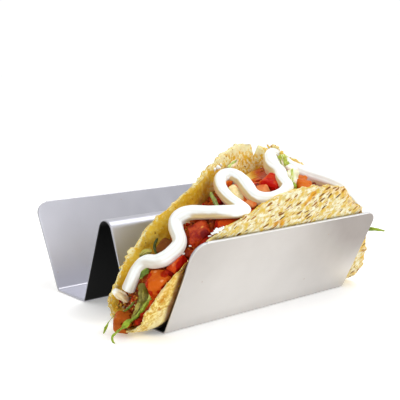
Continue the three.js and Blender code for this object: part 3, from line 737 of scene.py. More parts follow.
def shell_middle(u, y):
    """The middle of the shell: u runs across from the fold's lowest line, + up the right wall."""
    band = hump(-u, 1, LEFT_ARC, LEFT_ARC, LEFT_ARC + MOUTH_FLARE["above"])
    flare = MOUTH_FLARE["width"] * smoothstep(-y, MOUTH_FLARE["start"], MOUTH_FLARE["full"]) * band
    up = u - RIGHT_ARC
    right = (WALL_FOOT_X + up * math.sin(PLATE_LEAN), WALL_FOOT_Z + up * math.cos(PLATE_LEAN))
    angle = u / FOLD_RADIUS
    fold = (FOLD_X + FOLD_RADIUS * np.sin(angle) - flare, FOLD_Z - FOLD_RADIUS * np.cos(angle))
    up = np.maximum(-u - LEFT_ARC, 0)
    height = np.maximum(FOLD_SHIFT + half_chord(SHELL_RADIUS, y) - LEFT_ARC, LEAST_WALL)
    left = (FOLD_X - FOLD_RADIUS + left_bow(y) * (up / height) ** LEAN_CURVE - flare, FOLD_Z + up)
    x = np.where(u > RIGHT_ARC, right[0], np.where(u > -LEFT_ARC, fold[0], left[0]))
    z = np.where(u > RIGHT_ARC, right[1], np.where(u > -LEFT_ARC, fold[1], left[1]))
    return np.stack([x, y, z], axis=-1)


def shell_normal(u, y):
    """Points out of the fold, away from the filling."""
    step = 0.3
    across = shell_middle(u + step, y) - shell_middle(u - step, y)
    along = shell_middle(u, y + step) - shell_middle(u, y - step)
    normal = np.cross(along, across)
    return normal / np.linalg.norm(normal, axis=-1, keepdims=True)


def rim_radius(turn):
    """How far the tortilla reaches from the middle of its disc, craggy as it broke."""
    ring = SHELL_RADIUS * np.stack([np.cos(turn), np.sin(turn), np.zeros(turn.shape)], axis=-1)
    along = ring[:, 1]
    left, right = (sum(rise["height"] * hump(along, **rise) for rise in rises)
                   for rises in (LEFT_RISES, RIGHT_RISES))
    crown = np.where(ring[:, 0] < 0, left, right)
    crags = 0.5 * value_noise(ring, 9, 3) + 0.45 * value_noise(ring, 4, 4)
    flakes = 0.85 * smoothstep(value_noise(ring, 1.9, 5), 0.15, 0.4) + 0.2 * value_noise(ring, 1, 6)
    off_notch = np.abs(along - NOTCH["place"]) / (NOTCH["width"] / 2)
    notch = NOTCH["depth"] * np.clip(1 - off_notch, 0, 1) ** 0.8 * (ring[:, 0] < 0)
    return SHELL_RADIUS + crown + crags + flakes - notch


def shell_relief(points, seed):
    """Blisters, grain and pits of the fried surface, in mm."""
    blisters = 0.16 * value_noise(points, 6, seed) + 0.14 * value_noise(points, 2.8, seed + 1)
    grain = 0.17 * value_noise(points, 1.5, seed + 2)
    pits = -0.6 * np.clip(0.3 - cell_distance(points, 5, seed + 3), 0, 1) / 0.3
    return blisters + grain + pits


def shell_grid():
    """Each point's share of the radius, face (1 outside), rim bulge and turn; rings; spokes."""
    spokes, inner_rings, outer_rings, edge_steps = 800, 6, 44, 5
    coarse_end = 0.45  # the filling hides what lies nearer to the middle than this share
    shares = np.concatenate([np.linspace(0.02, coarse_end, inner_rings, endpoint=False),
                             np.linspace(coarse_end, 0.985, outer_rings)])
    edge = np.linspace(0, math.pi, edge_steps + 2)[1:-1]
    rows = [(share, 1.0, 0.0) for share in shares]
    rows += [(0.985, math.cos(a), math.sin(a)) for a in edge]
    rows += [(share, -1.0, 0.0) for share in shares[::-1]]
    turn = np.arange(spokes) * 2 * math.pi / spokes
    share, face, bulge = (np.repeat(column, spokes) for column in np.array(rows).T)
    return share, face, bulge, np.tile(turn, len(rows)), len(rows), spokes


def make_shell(material):
    share, face, bulge, turn, count, spokes = shell_grid()
    rim = rim_radius(turn)
    rough = 0.35 * value_noise(np.stack([turn * 60, face * 3, 0 * turn], -1), 2.4, 9)
    thin = 1 - (0.42 + rough) * smoothstep(share, 0.86, 1)
    radius = share * rim + bulge * SHELL_THICKNESS / 2 * thin
    u = -FOLD_SHIFT + radius * np.cos(turn)
    y = radius * np.sin(turn)
    disc = np.stack([u, y, 3 * face], axis=-1)  # the two faces have their own relief
    relief = shell_relief(disc, 11)
    on_plate = hump(u, 4, 10, PLATE_SLANT, PLATE_SLANT + 4) * (face > 0)
    relief = np.where(face > 0, np.minimum(relief, 0.2 + 0.6 * (1 - on_plate)), relief)
    out = face * (SHELL_THICKNESS / 2 * thin) + np.where(face > 0, relief, -relief)
    points = shell_middle(u, y) + shell_normal(u, y) * out[:, None]
    faces = tube_faces(count, spokes)
    shell = new_piece("shell_fried", points, faces, material, "corn_shell", "shell")
    paint_shell(shell, disc, radius, face)


def paint_shell(shell, disc, radius, face):
    u, y = disc[:, 0], disc[:, 1]
    wander = layered_noise(disc, 9, 21)
    heap_edge = HEAP_EDGE_FAR + (HEAP_EDGE_NEAR - HEAP_EDGE_FAR) * hump(y, -56, -42, 0, 16)
    soak = (1 - smoothstep(radius + 2.2 * wander, heap_edge - 4, heap_edge + 4)) * (face < 0.2)
    by_rim = smoothstep(radius + 0.6 * wander, 59, 62.5) * smoothstep(y, 0, 14) * (u > 0)
    by_plate = 1 - smoothstep(u + 0.6 * wander, PLATE_SLANT + 0.5, PLATE_SLANT + 4)
    soak = np.maximum(soak, 0.26 * np.maximum(by_rim, by_plate * (u > 20)) * (face > 0))
    outside = smoothstep(face, -0.2, 0.8) * smoothstep(y, -66, -44)
    stain = np.zeros(len(u))
    fine_wander = 0.4 * layered_noise(disc, 2.5, 23)
    for spot_y, spot_u, size in STAINS:
        distance = np.hypot(y - spot_y, u - spot_u) / size
        stain = np.maximum(stain, (1 - smoothstep(distance + fine_wander, 0.5, 1.2)) * (face > 0))
    toward_top = smoothstep(u, 47, 55) * smoothstep(y, 2, 20)
    toast = 0.46 + 0.2 * toward_top + 0.16 * value_noise(disc, 9, 41)
    toast = toast * smoothstep(face, 0.2, 0.8) * (0.5 + 0.5 * outside)
    mouth = (1 - smoothstep(y, -58, -44)) * smoothstep(face, -0.6, 0.4)
    # painted shade: a band on the outside along the plate's front edge
    beside_plate = smoothstep(y + 0.5 * wander, -53.4, -51.8) * (1 - smoothstep(y, -49, -47))
    # painted shade: below this line, where the shell lies in the dark between the plate and the
    # floor, it is painted near black
    low_line = 46.9 + 0.8 * y
    under = smoothstep(low_line - to_stand(mesh_points(shell.data))[:, 2], -0.4, 0.6)
    under = under * smoothstep(-y, 40, 44) * (u > 0) * (face > 0)
    # painted shade beside the plate, and the real stains by the mouth darkened
    shade = 0.85 * beside_plate * hump(u, 2, 8, PLATE_SLANT - 4, PLATE_SLANT) * (face > 0)
    shade = np.maximum(shade, 0.55 * stain * (y < -50))
    pale = smoothstep(y, -34, -6) * (u < 0)
    pale = pale + 1.2 * smoothstep(radius, 61.8, 63.2) * (1 - smoothstep(y, 12, 20))
    paint(shell, outside=outside, soak=soak, stain=stain, toast=toast, mouth=mouth, shade=shade,
          under=under, pale=pale)
    paint_vector(shell, "disc", disc)


# ---- the crema ----
CREMA_LINE = [  # x, y, z and radius
    (28.9, -61.2, 16.1, 2.35), (30.4, -59.3, 22, 2.35), (31.6, -57.1, 26.1, 2.25),
    (34.2, -55.5, 28.3, 2.35), (37.9, -54.5, 28.5, 2.6), (41.5, -52, 30.4, 2.75),
    (43.6, -48.4, 34.2, 2.75), (42.8, -46.9, 36.6, 2.6), (40.7, -46.7, 39.5, 2.6),
    (37.3, -44.5, 42, 2.75), (38.5, -42.6, 44.4, 2.7), (40.6, -39.9, 45.5, 2.6),
    (46, -36.8, 45.9, 2.5), (52, -33.2, 46.5, 2.45), (55.7, -29.1, 46.8, 2.3),
    (57.8, -26.1, 46.9, 1.1), (55.1, -27.1, 48, 1.8), (52.1, -28, 48.9, 2.3),
    (46.6, -27, 50.5, 2.4), (41, -25.5, 53.5, 2.5), (37.2, -22, 56.3, 2.6),
    (38.3, -18.2, 57.5, 2.6), (43.1, -16.8, 55.6, 2.75), (48.4, -18.3, 53.2, 2.75),
    (53.4, -19.3, 50.8, 2.7), (57.1, -15.6, 50.2, 2.35), (57.7, -9.3, 51.2, 2.4),
    (56.8, -5.4, 53.4, 2.5), (53.2, -4.7, 55.6, 2.5), (47.1, 0.2, 57, 2.9), (39.9, 3.5, 58.8, 3.3),
    (34.1, 8.1, 61.1, 2.9), (30.1, 12.2, 62.7, 2.1), (28.6, 15.9, 62.7, 2.0),
    (29.9, 19.4, 60.3, 2.1), (33.1, 21.4, 56.8, 2.5), (39.7, 22.5, 54.4, 3.1),
    (45.7, 24, 53.1, 3.1), (50.9, 25.9, 51.9, 3), (54, 29.9, 49.9, 2.8), (55, 35.6, 46, 2.3),
    (54.6, 41, 41.4, 2), (49, 45, 39.8, 2), (43, 46.6, 39.6, 2), (38.6, 50, 36, 1.9),
    (36.6, 54, 30, 1.9)]
# The sides with painted shade, tinted tan as by the shell's reflected light: those towards the left
# wall, and the far strand's side in the heap's shade.
AWAY = (-0.54, -0.63, -0.56)
SHADED = (0.0, -0.25, -0.97)


def smooth_line(knots, count):
    """Points spaced evenly along a smooth curve through the knots, with whatever they carry."""
    knots = np.array(knots, float)
    padded = np.vstack([2 * knots[0] - knots[1], knots, 2 * knots[-1] - knots[-2]])
    fine = []
    for p0, p1, p2, p3 in zip(padded, padded[1:], padded[2:], padded[3:]):
        for t in np.linspace(0, 1, 24, endpoint=False):
            fine.append(0.5 * (2 * p1 + (p2 - p0) * t + (2 * p0 - 5 * p1 + 4 * p2 - p3) * t**2
                               + (3 * p1 - p0 - 3 * p2 + p3) * t**3))
    fine.append(knots[-1])
    fine = np.array(fine)
    steps = np.linalg.norm(np.diff(fine[:, :3], axis=0), axis=1)
    length = np.concatenate([[0], steps.cumsum()])
    even = np.linspace(0, length[-1], count)
    return np.stack([np.interp(even, length, column) for column in fine.T], axis=-1)


def softened(line, reach):
    """The line averaged over that many points to either side, with its ends kept."""
    padded = np.vstack([line[:1]] * reach + [line] + [line[-1:]] * reach)
    window = np.hanning(2 * reach + 3)[1:-1]
    window /= window.sum()
    return np.stack([np.convolve(column, window, "valid") for column in padded.T], axis=-1)


def frames_along(line):
    """Tangents and two side directions that don't twist along a line."""
    tangents = np.gradient(line, axis=0)
    tangents /= np.linalg.norm(tangents, axis=1, keepdims=True)
    side = np.cross(tangents[0], (0, 0, 1))
    sides = []
    for tangent in tangents:
        side = side - tangent * (side @ tangent)
        side /= np.linalg.norm(side)
        sides.append(side)
    sides = np.array(sides)
    return tangents, sides, np.cross(tangents, sides)


def make_crema(material):
    steps, sides = 900, 54
    knots = smooth_line(CREMA_LINE, steps)
    line, base = softened(knots[:, :3], 9), knots[:, 3]
    _, side, up = frames_along(line)
    t = np.linspace(0, 1, steps)
    base = base * (1 + 0.06 * value_noise(line, 8, 51) + 0.03 * value_noise(line, 2.5, 52))
    length = np.linalg.norm(np.diff(line, axis=0), axis=1).sum()
    from_end = np.minimum(t, 1 - t) * length
    blunt = np.sqrt(1 - (1 - np.clip((from_end + 0.1) / 1.8, 0, 1)) ** 2)
    angle = np.arange(sides) * 2 * math.pi / sides
    outward = line * (1, 0, 1) - (FOLD_X, 0, FOLD_Z)
    outward /= np.linalg.norm(outward, axis=1, keepdims=True)
    circle = (np.cos(angle)[None, :, None] * side[:, None, :]
              + np.sin(angle)[None, :, None] * up[:, None, :])
    facing = (circle * outward[:, None, :]).sum(axis=-1)
    twist = 1.6 * value_noise(line, 30, 53)[:, None]
    deep = 0.7 + 0.3 * value_noise(line, 14, 54)[:, None]
    groove = deep * (0.5 + 0.5 * np.cos(9 * (angle[None, :] + twist))) ** 3
    ridges = 1 - 0.1 * groove
    spread = 1 + 0.12 * smoothstep(-facing, 0, 0.6)  # it slumps where it lies on the filling
    radius = (base * blunt)[:, None] * ridges * spread
    points = (line[:, None, :] + radius[..., None] * circle).reshape(-1, 3)
    faces = tube_faces(steps, sides)
    crema = new_piece("crema_line", points, faces, material, "crema", "crema")
    far = smoothstep(t, 0.74, 0.8)
    # how strongly the painted tan shade lies on the line: less by the mouth and on the far strand
    tan_shade_share = 0.4 + 0.6 * smoothstep(line[:, 1], -46, -38) - 0.15 * far
    beneath = np.clip(-facing, 0, 1)
    over_heap = far * (1 - smoothstep(line[:, 1], 29, 34))
    turned = np.maximum(beneath, np.clip(circle @ AWAY, 0, 1) * (1 - far)[:, None])
    turned = np.maximum(turned, np.clip(circle @ SHADED, 0, 1) * over_heap[:, None])
    by_mouth = smoothstep(-line[:, 1], 26, 36)
    # painted shade: low tints the sides turned from the light tan, turned greys them by the mouth,
    # groove greys the grooves
    paint(crema, low=(turned * tan_shade_share[:, None]).reshape(-1),
          groove=(groove * (1 - 0.7 * far)[:, None]).reshape(-1),
          turned=(turned * by_mouth[:, None]).reshape(-1))


# ---- the filling ----
def make_filling(material):
    points, normals, faces = rounded_copy("filling", 0.6, 4)
    wall = np.array([math.cos(PLATE_LEAN), 0, -math.sin(PLATE_LEAN)])
    against_wall = np.maximum(np.abs(normals[:, 0]), np.abs(normals @ wall))
    free = 1 - smoothstep(against_wall, 0.6, 0.9)
    lumps = 0.75 - cell_distance(points, 3.4, 61)
    grain = value_noise(points, 1.3, 62)
    by_wall = 1 - smoothstep(np.abs(points[:, 1] + 1), 7, 11)
    by_wall = by_wall * (1 - smoothstep(points[:, 0], 38, 43)) * smoothstep(points[:, 2], 44, 48)
    free = free * (1 - 0.6 * by_wall)
    points = points + normals * (free * (0.25 + 1.1 * lumps + 0.25 * grain))[:, None]
    piece = new_piece("filling_mince", points, faces, material, "ground_meat", "filling")
    to_right = points @ RIGHT_WARD + 0.5 * value_noise(points, 2, 63)
    paint(piece, sauce=by_wall, ruddy=smoothstep(to_right, 18.5, 24.5))
    return piece


def ball(rings=6, spokes=10):
    """Points and faces of a unit ball."""
    points, faces = [(0, 0, -1)], []
    for i in range(1, rings):
        tilt = math.pi * i / rings - math.pi / 2
        for k in range(spokes):
            turn = 2 * math.pi * k / spokes
            points.append((math.cos(tilt) * math.cos(turn), math.cos(tilt) * math.sin(turn),
                           math.sin(tilt)))
    points.append((0, 0, 1))
    for i in range(rings - 2):
        for k in range(spokes):
            a, b = 1 + i * spokes + k, 1 + i * spokes + (k + 1) % spokes
            faces.append([a, b, b + spokes, a + spokes])
    last = len(points) - 1
    for k in range(spokes):
        after = (k + 1) % spokes
        faces.append([0, 1 + after, 1 + k])
        faces.append([last, last - spokes + k, last - spokes + after])
    return np.array(points), faces


def make_bits(name, places, sizes, material, slot, seed):
    """Many small lumps in one piece, each of its own size, turn and kind."""
    draw = np.random.default_rng(seed)
    unit, unit_faces = ball()
    points, faces, kinds = [], [], []
    for place, size in zip(places, sizes):
        turn, _ = np.linalg.qr(draw.normal(size=(3, 3)))
        stretch = draw.uniform(0.45, 1.3, 3)
        lumpy = 1 + 0.5 * value_noise(unit * 2 + place, 1.2, seed)
        start = len(points)
        points.extend(place + size * (unit * lumpy[:, None] * stretch) @ turn.T)
        faces.extend([start + i for i in face] for face in unit_faces)
        kinds.extend([draw.random()] * len(unit))
    paint(new_piece(name, points, faces, material, slot), kind=kinds)


def scatter(piece, wanted, count, seed):
    """Random points of a piece's surface among those for which wanted is true."""
    draw = np.random.default_rng(seed)
    points, normals = to_stand(mesh_points(piece.data)), mesh_normals(piece.data)
    chosen = np.flatnonzero(wanted(points, normals))
    picked = draw.choice(chosen, min(count, len(chosen)), replace=False)
    return points[picked], normals[picked]


# A clump of mince that leans on the left wall, by the mouth.
CLUMP = dict(middle=(21.7, -58, 9.5), spread=(0.25, 1.1, 1.5), count=44)


def at_mouth(points, _):
    return (points[:, 1] < -52) & (points[:, 0] < 32.5) & (np.abs(points[:, 2] - 12.5) < 3.5)


def at_back(points, normals):
    return (points[:, 1] > 40) & (normals @ (0.4, 0.85, 0.35) > 0.35)


def on_top(points, normals):
    clear_of_wall = (np.abs(points[:, 1] + 1) > 9) | (points[:, 0] > 42)
    return (np.abs(points[:, 1]) < 46) & (normals[:, 2] > 0.5) & clear_of_wall


# Loose bits on the heap: how many, the largest size, and where.
LOOSE_BITS = dict(mouth_bits=(170, 0.6, at_mouth), back_bits=(190, 1.1, at_back),
                  top_bits=(460, 0.9, on_top))


def make_mince_bits(filling, material):
    for seed, (name, (count, largest, wanted)) in enumerate(LOOSE_BITS.items()):
        places, normals = scatter(filling, wanted, count, 300 + seed)
        sizes = np.random.default_rng(310 + seed).uniform(0.3, largest, len(places))
        make_bits(name, places + 0.15 * normals, sizes, material, "ground_meat", 320 + seed)
    draw = np.random.default_rng(330)
    places = draw.normal(CLUMP["middle"], CLUMP["spread"], (CLUMP["count"], 3))
    sizes = draw.uniform(0.35, 0.8, len(places))
    make_bits("clump_bits", places, sizes, material, "ground_meat", 331)


# ---- toppings ----
TOMATO = dict(  # flesh and skin of each kind
    light=(srgb(204, 104, 20), srgb(188, 68, 12)),
    orange=(srgb(206, 96, 22), srgb(172, 38, 8)),
    bright=(srgb(208, 74, 22), srgb(158, 18, 8)),
    scarlet=(srgb(212, 72, 14), srgb(178, 16, 6)),
    deep=(srgb(168, 38, 14), srgb(126, 10, 6)),
    pale=(srgb(218, 140, 84), srgb(208, 90, 36)),
    brown=(srgb(176, 86, 26), srgb(140, 50, 12)),
    # shaded: painted shade, a darker copy of the brown tomato for a die that lies in shade
    shaded=(srgb(120, 68, 28), srgb(84, 40, 16)))

# Each die: its kind, and the way that its skin faces.
DICE = {
    "tomato_front_big": ("orange", (-0.75, -0.55, -0.3)),
    "tomato_front_mid": ("bright", (0.9, 0.3, 0.1)),
    "tomato_front_low": ("brown", (-0.2, 0.9, 0.3)),
    "tomato_shaded": ("shaded", (0, 0.5, -0.8)),
    "tomato_red_1": ("pulp", (-0.5, 0.6, 0.2)),
    "tomato_red_2": ("deep", (0.6, -0.2, 0.7)),
    "tomato_red_3": ("bright", (0, 0.4, -0.9)),
    "tomato_strip": ("bright", (0.5, 0.5, -0.7)),
    "tomato_small_1": ("pale", (0, 0.8, 0.6)),
    "tomato_small_2": ("pale", (-0.8, 0, 0.5)),
    "tomato_block": ("scarlet", (0.85, -0.5, 0.1)),
    "tomato_ridge": ("light", (-0.6, 0.5, -0.6)),
    "tomato_middle": ("light", (0, 0.7, -0.6)),
    "tomato_back_1": ("bright", (0, 0.8, 0.5)),
    "tomato_back_2": ("deep", (0, 0, 1)),
    "tomato_back_3": ("bright", (0.4, 0.8, 0.3)),
    "tomato_back_low": ("orange", (0, 0.6, 0.8)),
}

UNDER_CREMA = ("tomato_block", "tomato_middle")  # their tops are lowered
SKIN_DEPTH = 0.6  # how much deeper in colour a die is on its skin
# Spots on the dice that are deeper (+), painted shade together with deeper red flesh, or paler (-),
# painted highlights: place, radius, amount.
SPOTS = {
    "tomato_front_big": [((42.5, -54.2, 24.6), 1.9, 0.75), ((38.2, -58.6, 24.2), 1.7, 0.9),
                         ((39.2, -59.9, 21), 1.7, 0.9), ((39.8, -59, 18), 1.5, 0.9),
                         ((40.8, -57.1, 16.2), 1.7, 0.5), ((44.9, -56, 20.6), 1.2, 0.6),
                         ((43.4, -56.6, 18.6), 1.2, 0.6), ((46, -55.4, 24), 1.3, 0.5),
                         ((44.5, -56.7, 22.9), 0.8, -0.6), ((39.1, -55.7, 25), 0.8, -0.4)],
    "tomato_front_mid": [((48.4, -51.6, 28.6), 1.7, 0.7), ((45.2, -52.8, 28.6), 1.2, -0.3)],
    "tomato_red_1": [((50.1, -41.6, 38.9), 1.9, 0.8), ((43, -41.2, 40.6), 1.6, 0.5)],
    "tomato_red_3": [((49.5, -35.8, 42.2), 2.2, 0.6)],
    "tomato_block": [((51.5, -10.5, 54), 2.2, 0.5)],
}


def dice_relief(points, normals, seed):
    wave = 0.3 * value_noise(points, 4.5, seed) + 0.12 * value_noise(points, 1.6, seed + 1)
    return points + normals * wave[:, None]


def make_dice(kinds):
    for seed, (node, (kind, skin_side)) in enumerate(DICE.items()):
        points, normals, faces = rounded_copy(node, 0.3, 4)
        points = dice_relief(points, normals, 70 + seed)
        if node in UNDER_CREMA:
            points[:, 2] -= 1.1 * smoothstep(points[:, 2], 52.5, 55.5)
        slot = "dark_tomato" if kind in ("deep", "brown", "shaded") else "tomato"
        piece = new_piece(node + "_cut", points, faces, kinds[kind], slot, node)
        facing = normals @ (np.array(skin_side) / np.linalg.norm(skin_side))
        skin = SKIN_DEPTH * smoothstep(facing, 0.1, 0.75)
        # the spots add painted shade and deeper red (+) or painted highlights (-) to the skin mask
        for place, radius, amount in SPOTS.get(node, ()):
            distance = np.linalg.norm(points - place, axis=1) / radius
            distance = distance + 0.4 * value_noise(points, 1.6, 90)
            skin = skin + amount * (1 - smoothstep(distance, 0.6, 1.15))
        paint(piece, skin=skin)


# The oval of pale flesh: its middle, its two directions and how far it reaches along them.
SLICE = dict(middle=(46.1, -22.5, 52.2), along=(0.53, 0.44, -0.72), across=(0.39, 0.63, 0.67),
             reach=(4.8, 1.95))


def make_slice(material):
    points, normals, faces = rounded_copy("tomato_flesh", 0.3, 8)
    points = dice_relief(points, normals, 91)
    along = (points - SLICE["middle"]) @ SLICE["along"]
    points = points + 0.22 * np.outer(np.minimum(along, 0), SLICE["along"])
    piece = new_piece("tomato_flesh_slice", points, faces, material, "tomato", "tomato_flesh")
    local = (points - SLICE["middle"]) @ np.array([SLICE["along"], SLICE["across"]]).T
    paint(piece, rim=np.linalg.norm(local / SLICE["reach"], axis=1))


ONION_LONG = np.array([0.603, 0.56, -0.569])
ONION_SHORT = np.array([0.272, 0.526, 0.806])


def make_onions(material):
    for seed, node in enumerate(("onion_front", "onion_top", "onion_back")):
        points, normals, faces = rounded_copy(node, 0.3, 8)
        points = dice_relief(points, normals, 95 + seed)
        middle = points.mean(axis=0)
        along, across = (points - middle) @ ONION_LONG, (points - middle) @ ONION_SHORT
        if node == "onion_front":  # a flat sliver, white at its upper end
            points = points + 0.1 * np.outer(along, ONION_LONG)
            points = points - 0.42 * np.outer(across, ONION_SHORT) - RIGHT_WARD
        piece = new_piece(node + "_soft", points, faces, material, "onion", node)
        tip = 1 - smoothstep(along, -2.4, -1.4) if node == "onion_front" else 0.7 + 0 * along
        paint(piece, tip=tip)


# Extra dice between the others: centre, size, turn about z and tilt in degrees, kind.
EXTRA_DICE = [
    ((41.4, -27.2, 47.2), (3.4, 2.6, 3.2), 20, 30, "deep"),
    ((40.5, -34.5, 42.6), (5.4, 4.2, 3.4), 35, 15, "bright"),
    ((46.5, -22.5, 45.6), (4.6, 4, 3), 60, 10, "deep"),
    ((40.2, -8.5, 51.4), (5, 4.4, 3.6), 15, 20, "bright"),
    ((44.6, -14.5, 50.4), (4, 3.6, 3.2), 50, 35, "pale"),
    ((36, -2, 52.4), (5.2, 4, 3), -20, 10, "orange"),
    ((34.2, -15.5, 50.6), (5, 4.2, 3.4), 40, 25, "bright"),
    ((50.6, 18.6, 48.6), (5.2, 3.8, 3.4), 10, 20, "orange"),
    ((44.6, 28.6, 46.4), (5, 4.4, 3.6), 35, 15, "bright"),
    ((37.5, 24.5, 49.4), (4.6, 4, 3.4), -25, 20, "orange"),
    ((47.4, 38.6, 40), (4.4, 4, 3.4), 25, 30, "deep"),
    ((43.2, -52.4, 24.6), (3.8, 3, 3.4), 40, 20, "deep"),
    ((36.6, -48.2, 29.6), (4.4, 3.6, 3), 10, 20, "bright"),
    ((36.6, -58.6, 8.8), (3.6, 2.6, 2.6), 30, 20, "deep"),
    ((38.4, -56.8, 12.6), (2, 2, 4.4), 30, 15, "bright"),
    ((36.4, -61, 6.6), (3.4, 2.6, 2), 10, 10, "deep"),
    ((40.3, -21.1, 53.6), (3, 2.8, 3.6), 30, 10, "light"),
]


def make_extra_dice(kinds):
    """Rounded blocks, their points pulled part of the way from a cube to a ball."""
    unit, unit_faces = ball(18, 28)
    for i, (middle, size, turn, tilt, kind) in enumerate(EXTRA_DICE):
        cube = unit / np.abs(unit).max(axis=1, keepdims=True)
        block = (0.72 * cube + 0.28 * unit) * np.array(size) / 2
        block[:, 0] += 0.25 * block[:, 2]
        turn, tilt = math.radians(turn), math.radians(tilt)
        about_z = np.array([[math.cos(turn), -math.sin(turn), 0],
                            [math.sin(turn), math.cos(turn), 0], [0, 0, 1]])
        about_x = np.array([[1, 0, 0], [0, math.cos(tilt), -math.sin(tilt)],
                            [0, math.sin(tilt), math.cos(tilt)]])
        outward = unit @ (about_z @ about_x).T
        points = block @ (about_z @ about_x).T + middle
        points = dice_relief(points, outward, 400 + 2 * i)
        slot = "dark_tomato" if kind == "deep" else "tomato"
        piece = new_piece(f"tomato_extra_{i + 1}", points, unit_faces, kinds[kind], slot)
        paint(piece, skin=SKIN_DEPTH * smoothstep(outward[:, 0], 0.3, 0.75))


# Strips of leaf: node or None, line, widths along it, kind, share of the width that is rib.
LEAVES = [
    ("lettuce_long",
     [(37.1, -56.1, 19.4), (38, -57.2, 15.3), (36.9, -58.7, 12.3), (35.5, -60.9, 8.9),
      (34.5, -62.8, 7.3), (34.2, -64.1, 6.7), (34, -65, 6.1), (33.9, -66, 5.4), (34, -67.1, 4.8),
      (34.8, -69.8, 4.2), (35.8, -72.5, 3.4), (36.5, -72.9, 1.9), (37.2, -72.4, 1)],
     (1.2, 1.5, 1.5, 1.2, 1, 2, 2.3, 1.9, 1, 1.1, 0.9, 0.8, 0.5), "bright", 0),
    ("lettuce_olive",
     [(33.9, -58.2, 20.2), (35.4, -58.3, 15.6), (35.4, -58.8, 12.7), (34.3, -60, 9.2),
      (32.7, -61.7, 6.9)],
     (2.6, 4, 4.4, 3.4, 1.8), "olive", 0),
    ("lettuce_sliver", [(25.4, -62.4, 8.8), (26, -67.2, 5.6), (27.2, -69.4, 4), (29.2, -72, 2.6)],
     (0.3, 0.3, 1, 0.5), "bright", 0),
    ("lettuce_stub", [(36, -56.2, 25.4), (33.4, -57.8, 23.4), (31, -59, 21.6)],
     (2.2, 2.8, 2.2), "mid", 0),
    ("lettuce_side", [(32, -48.9, 35.5), (32, -50.4, 32.7), (33.6, -50.4, 30.5), (36.6, -49, 30.8)],
     (0.9, 1.1, 1.6, 1), "dark", 0),
    ("lettuce_loop", [(38, -28, 51.4), (41, -28.8, 49), (43.6, -29.4, 46.6)],
     (1.2, 1.7, 1.6), "faded", 0),
    ("lettuce_wall", [(30.4, -12.2, 58.4), (29.2, -8, 59.8), (28.2, -4.3, 61)],
     (1.6, 2.4, 1.2), "veil", 0),
    ("lettuce_top", [(32.4, 15.7, 62.1), (33.8, 16.1, 58.8), (35.2, 16.8, 55.6)],
     (4.4, 5, 4), "pale", 0),
    ("lettuce_ridge", [(46.9, 8, 58), (48.4, 6, 54.9), (51, 2.8, 51.2)],
     (4.2, 5.4, 4), "pale", 0.5),
    ("lettuce_back", [(43, 48.6, 23.6), (45, 54, 26.2), (48.4, 58.2, 27.2), (53, 61.8, 26.6)],
     (1.4, 1.8, 1.6, 0.6), "bright", 0),
    ("lettuce_back_low", [(35.4, 56, 17.6), (33.4, 60.6, 13), (30, 64.6, 8.4), (28, 67.4, 4)],
     (2.4, 2.6, 2, 1), "bright", 0),
    (None, [(29, -62.8, 9.1), (29.9, -61.9, 9.9), (30.7, -60.6, 11.4), (31.6, -59.1, 13)],
     (0.4, 0.7, 0.8, 0.5), "mid", 0),
    (None, [(31.4, -56.9, 29.2), (32.5, -55.2, 31), (34.1, -53.2, 31.6)],
     (1.2, 2.6, 1.6), "olive", 0),
    (None, [(50.4, 5, 53.4), (52, 3.4, 51.6), (53.5, 1.9, 50.2)], (1.6, 2.2, 1.4), "bright", 0),
    (None, [(40.8, 14.8, 57), (42.4, 12.6, 56.2), (44.4, 10.6, 54.4)], (1.4, 2.4, 2), "pale", 0.6),
]
LEAF_KINDS = dict(  # leaf, stripes, and for some the noise from which the stripes start
    bright=(srgb(152, 178, 44), srgb(198, 212, 104)),
    mid=(srgb(112, 138, 36), srgb(150, 170, 64)),
    olive=(srgb(118, 110, 32), srgb(178, 168, 76), 0.44),
    dark=(srgb(70, 82, 26), srgb(116, 132, 44)),
    faded=(srgb(172, 188, 96), srgb(232, 224, 186)),
    veil=(srgb(188, 206, 104), srgb(238, 216, 178), 0.42),
    pale=(srgb(198, 212, 76), srgb(240, 242, 214), 0.44))
MOUTH_WARD = (0.76, -0.65)  # the way that the leaves face
LEAF_THICKNESS = 0.45


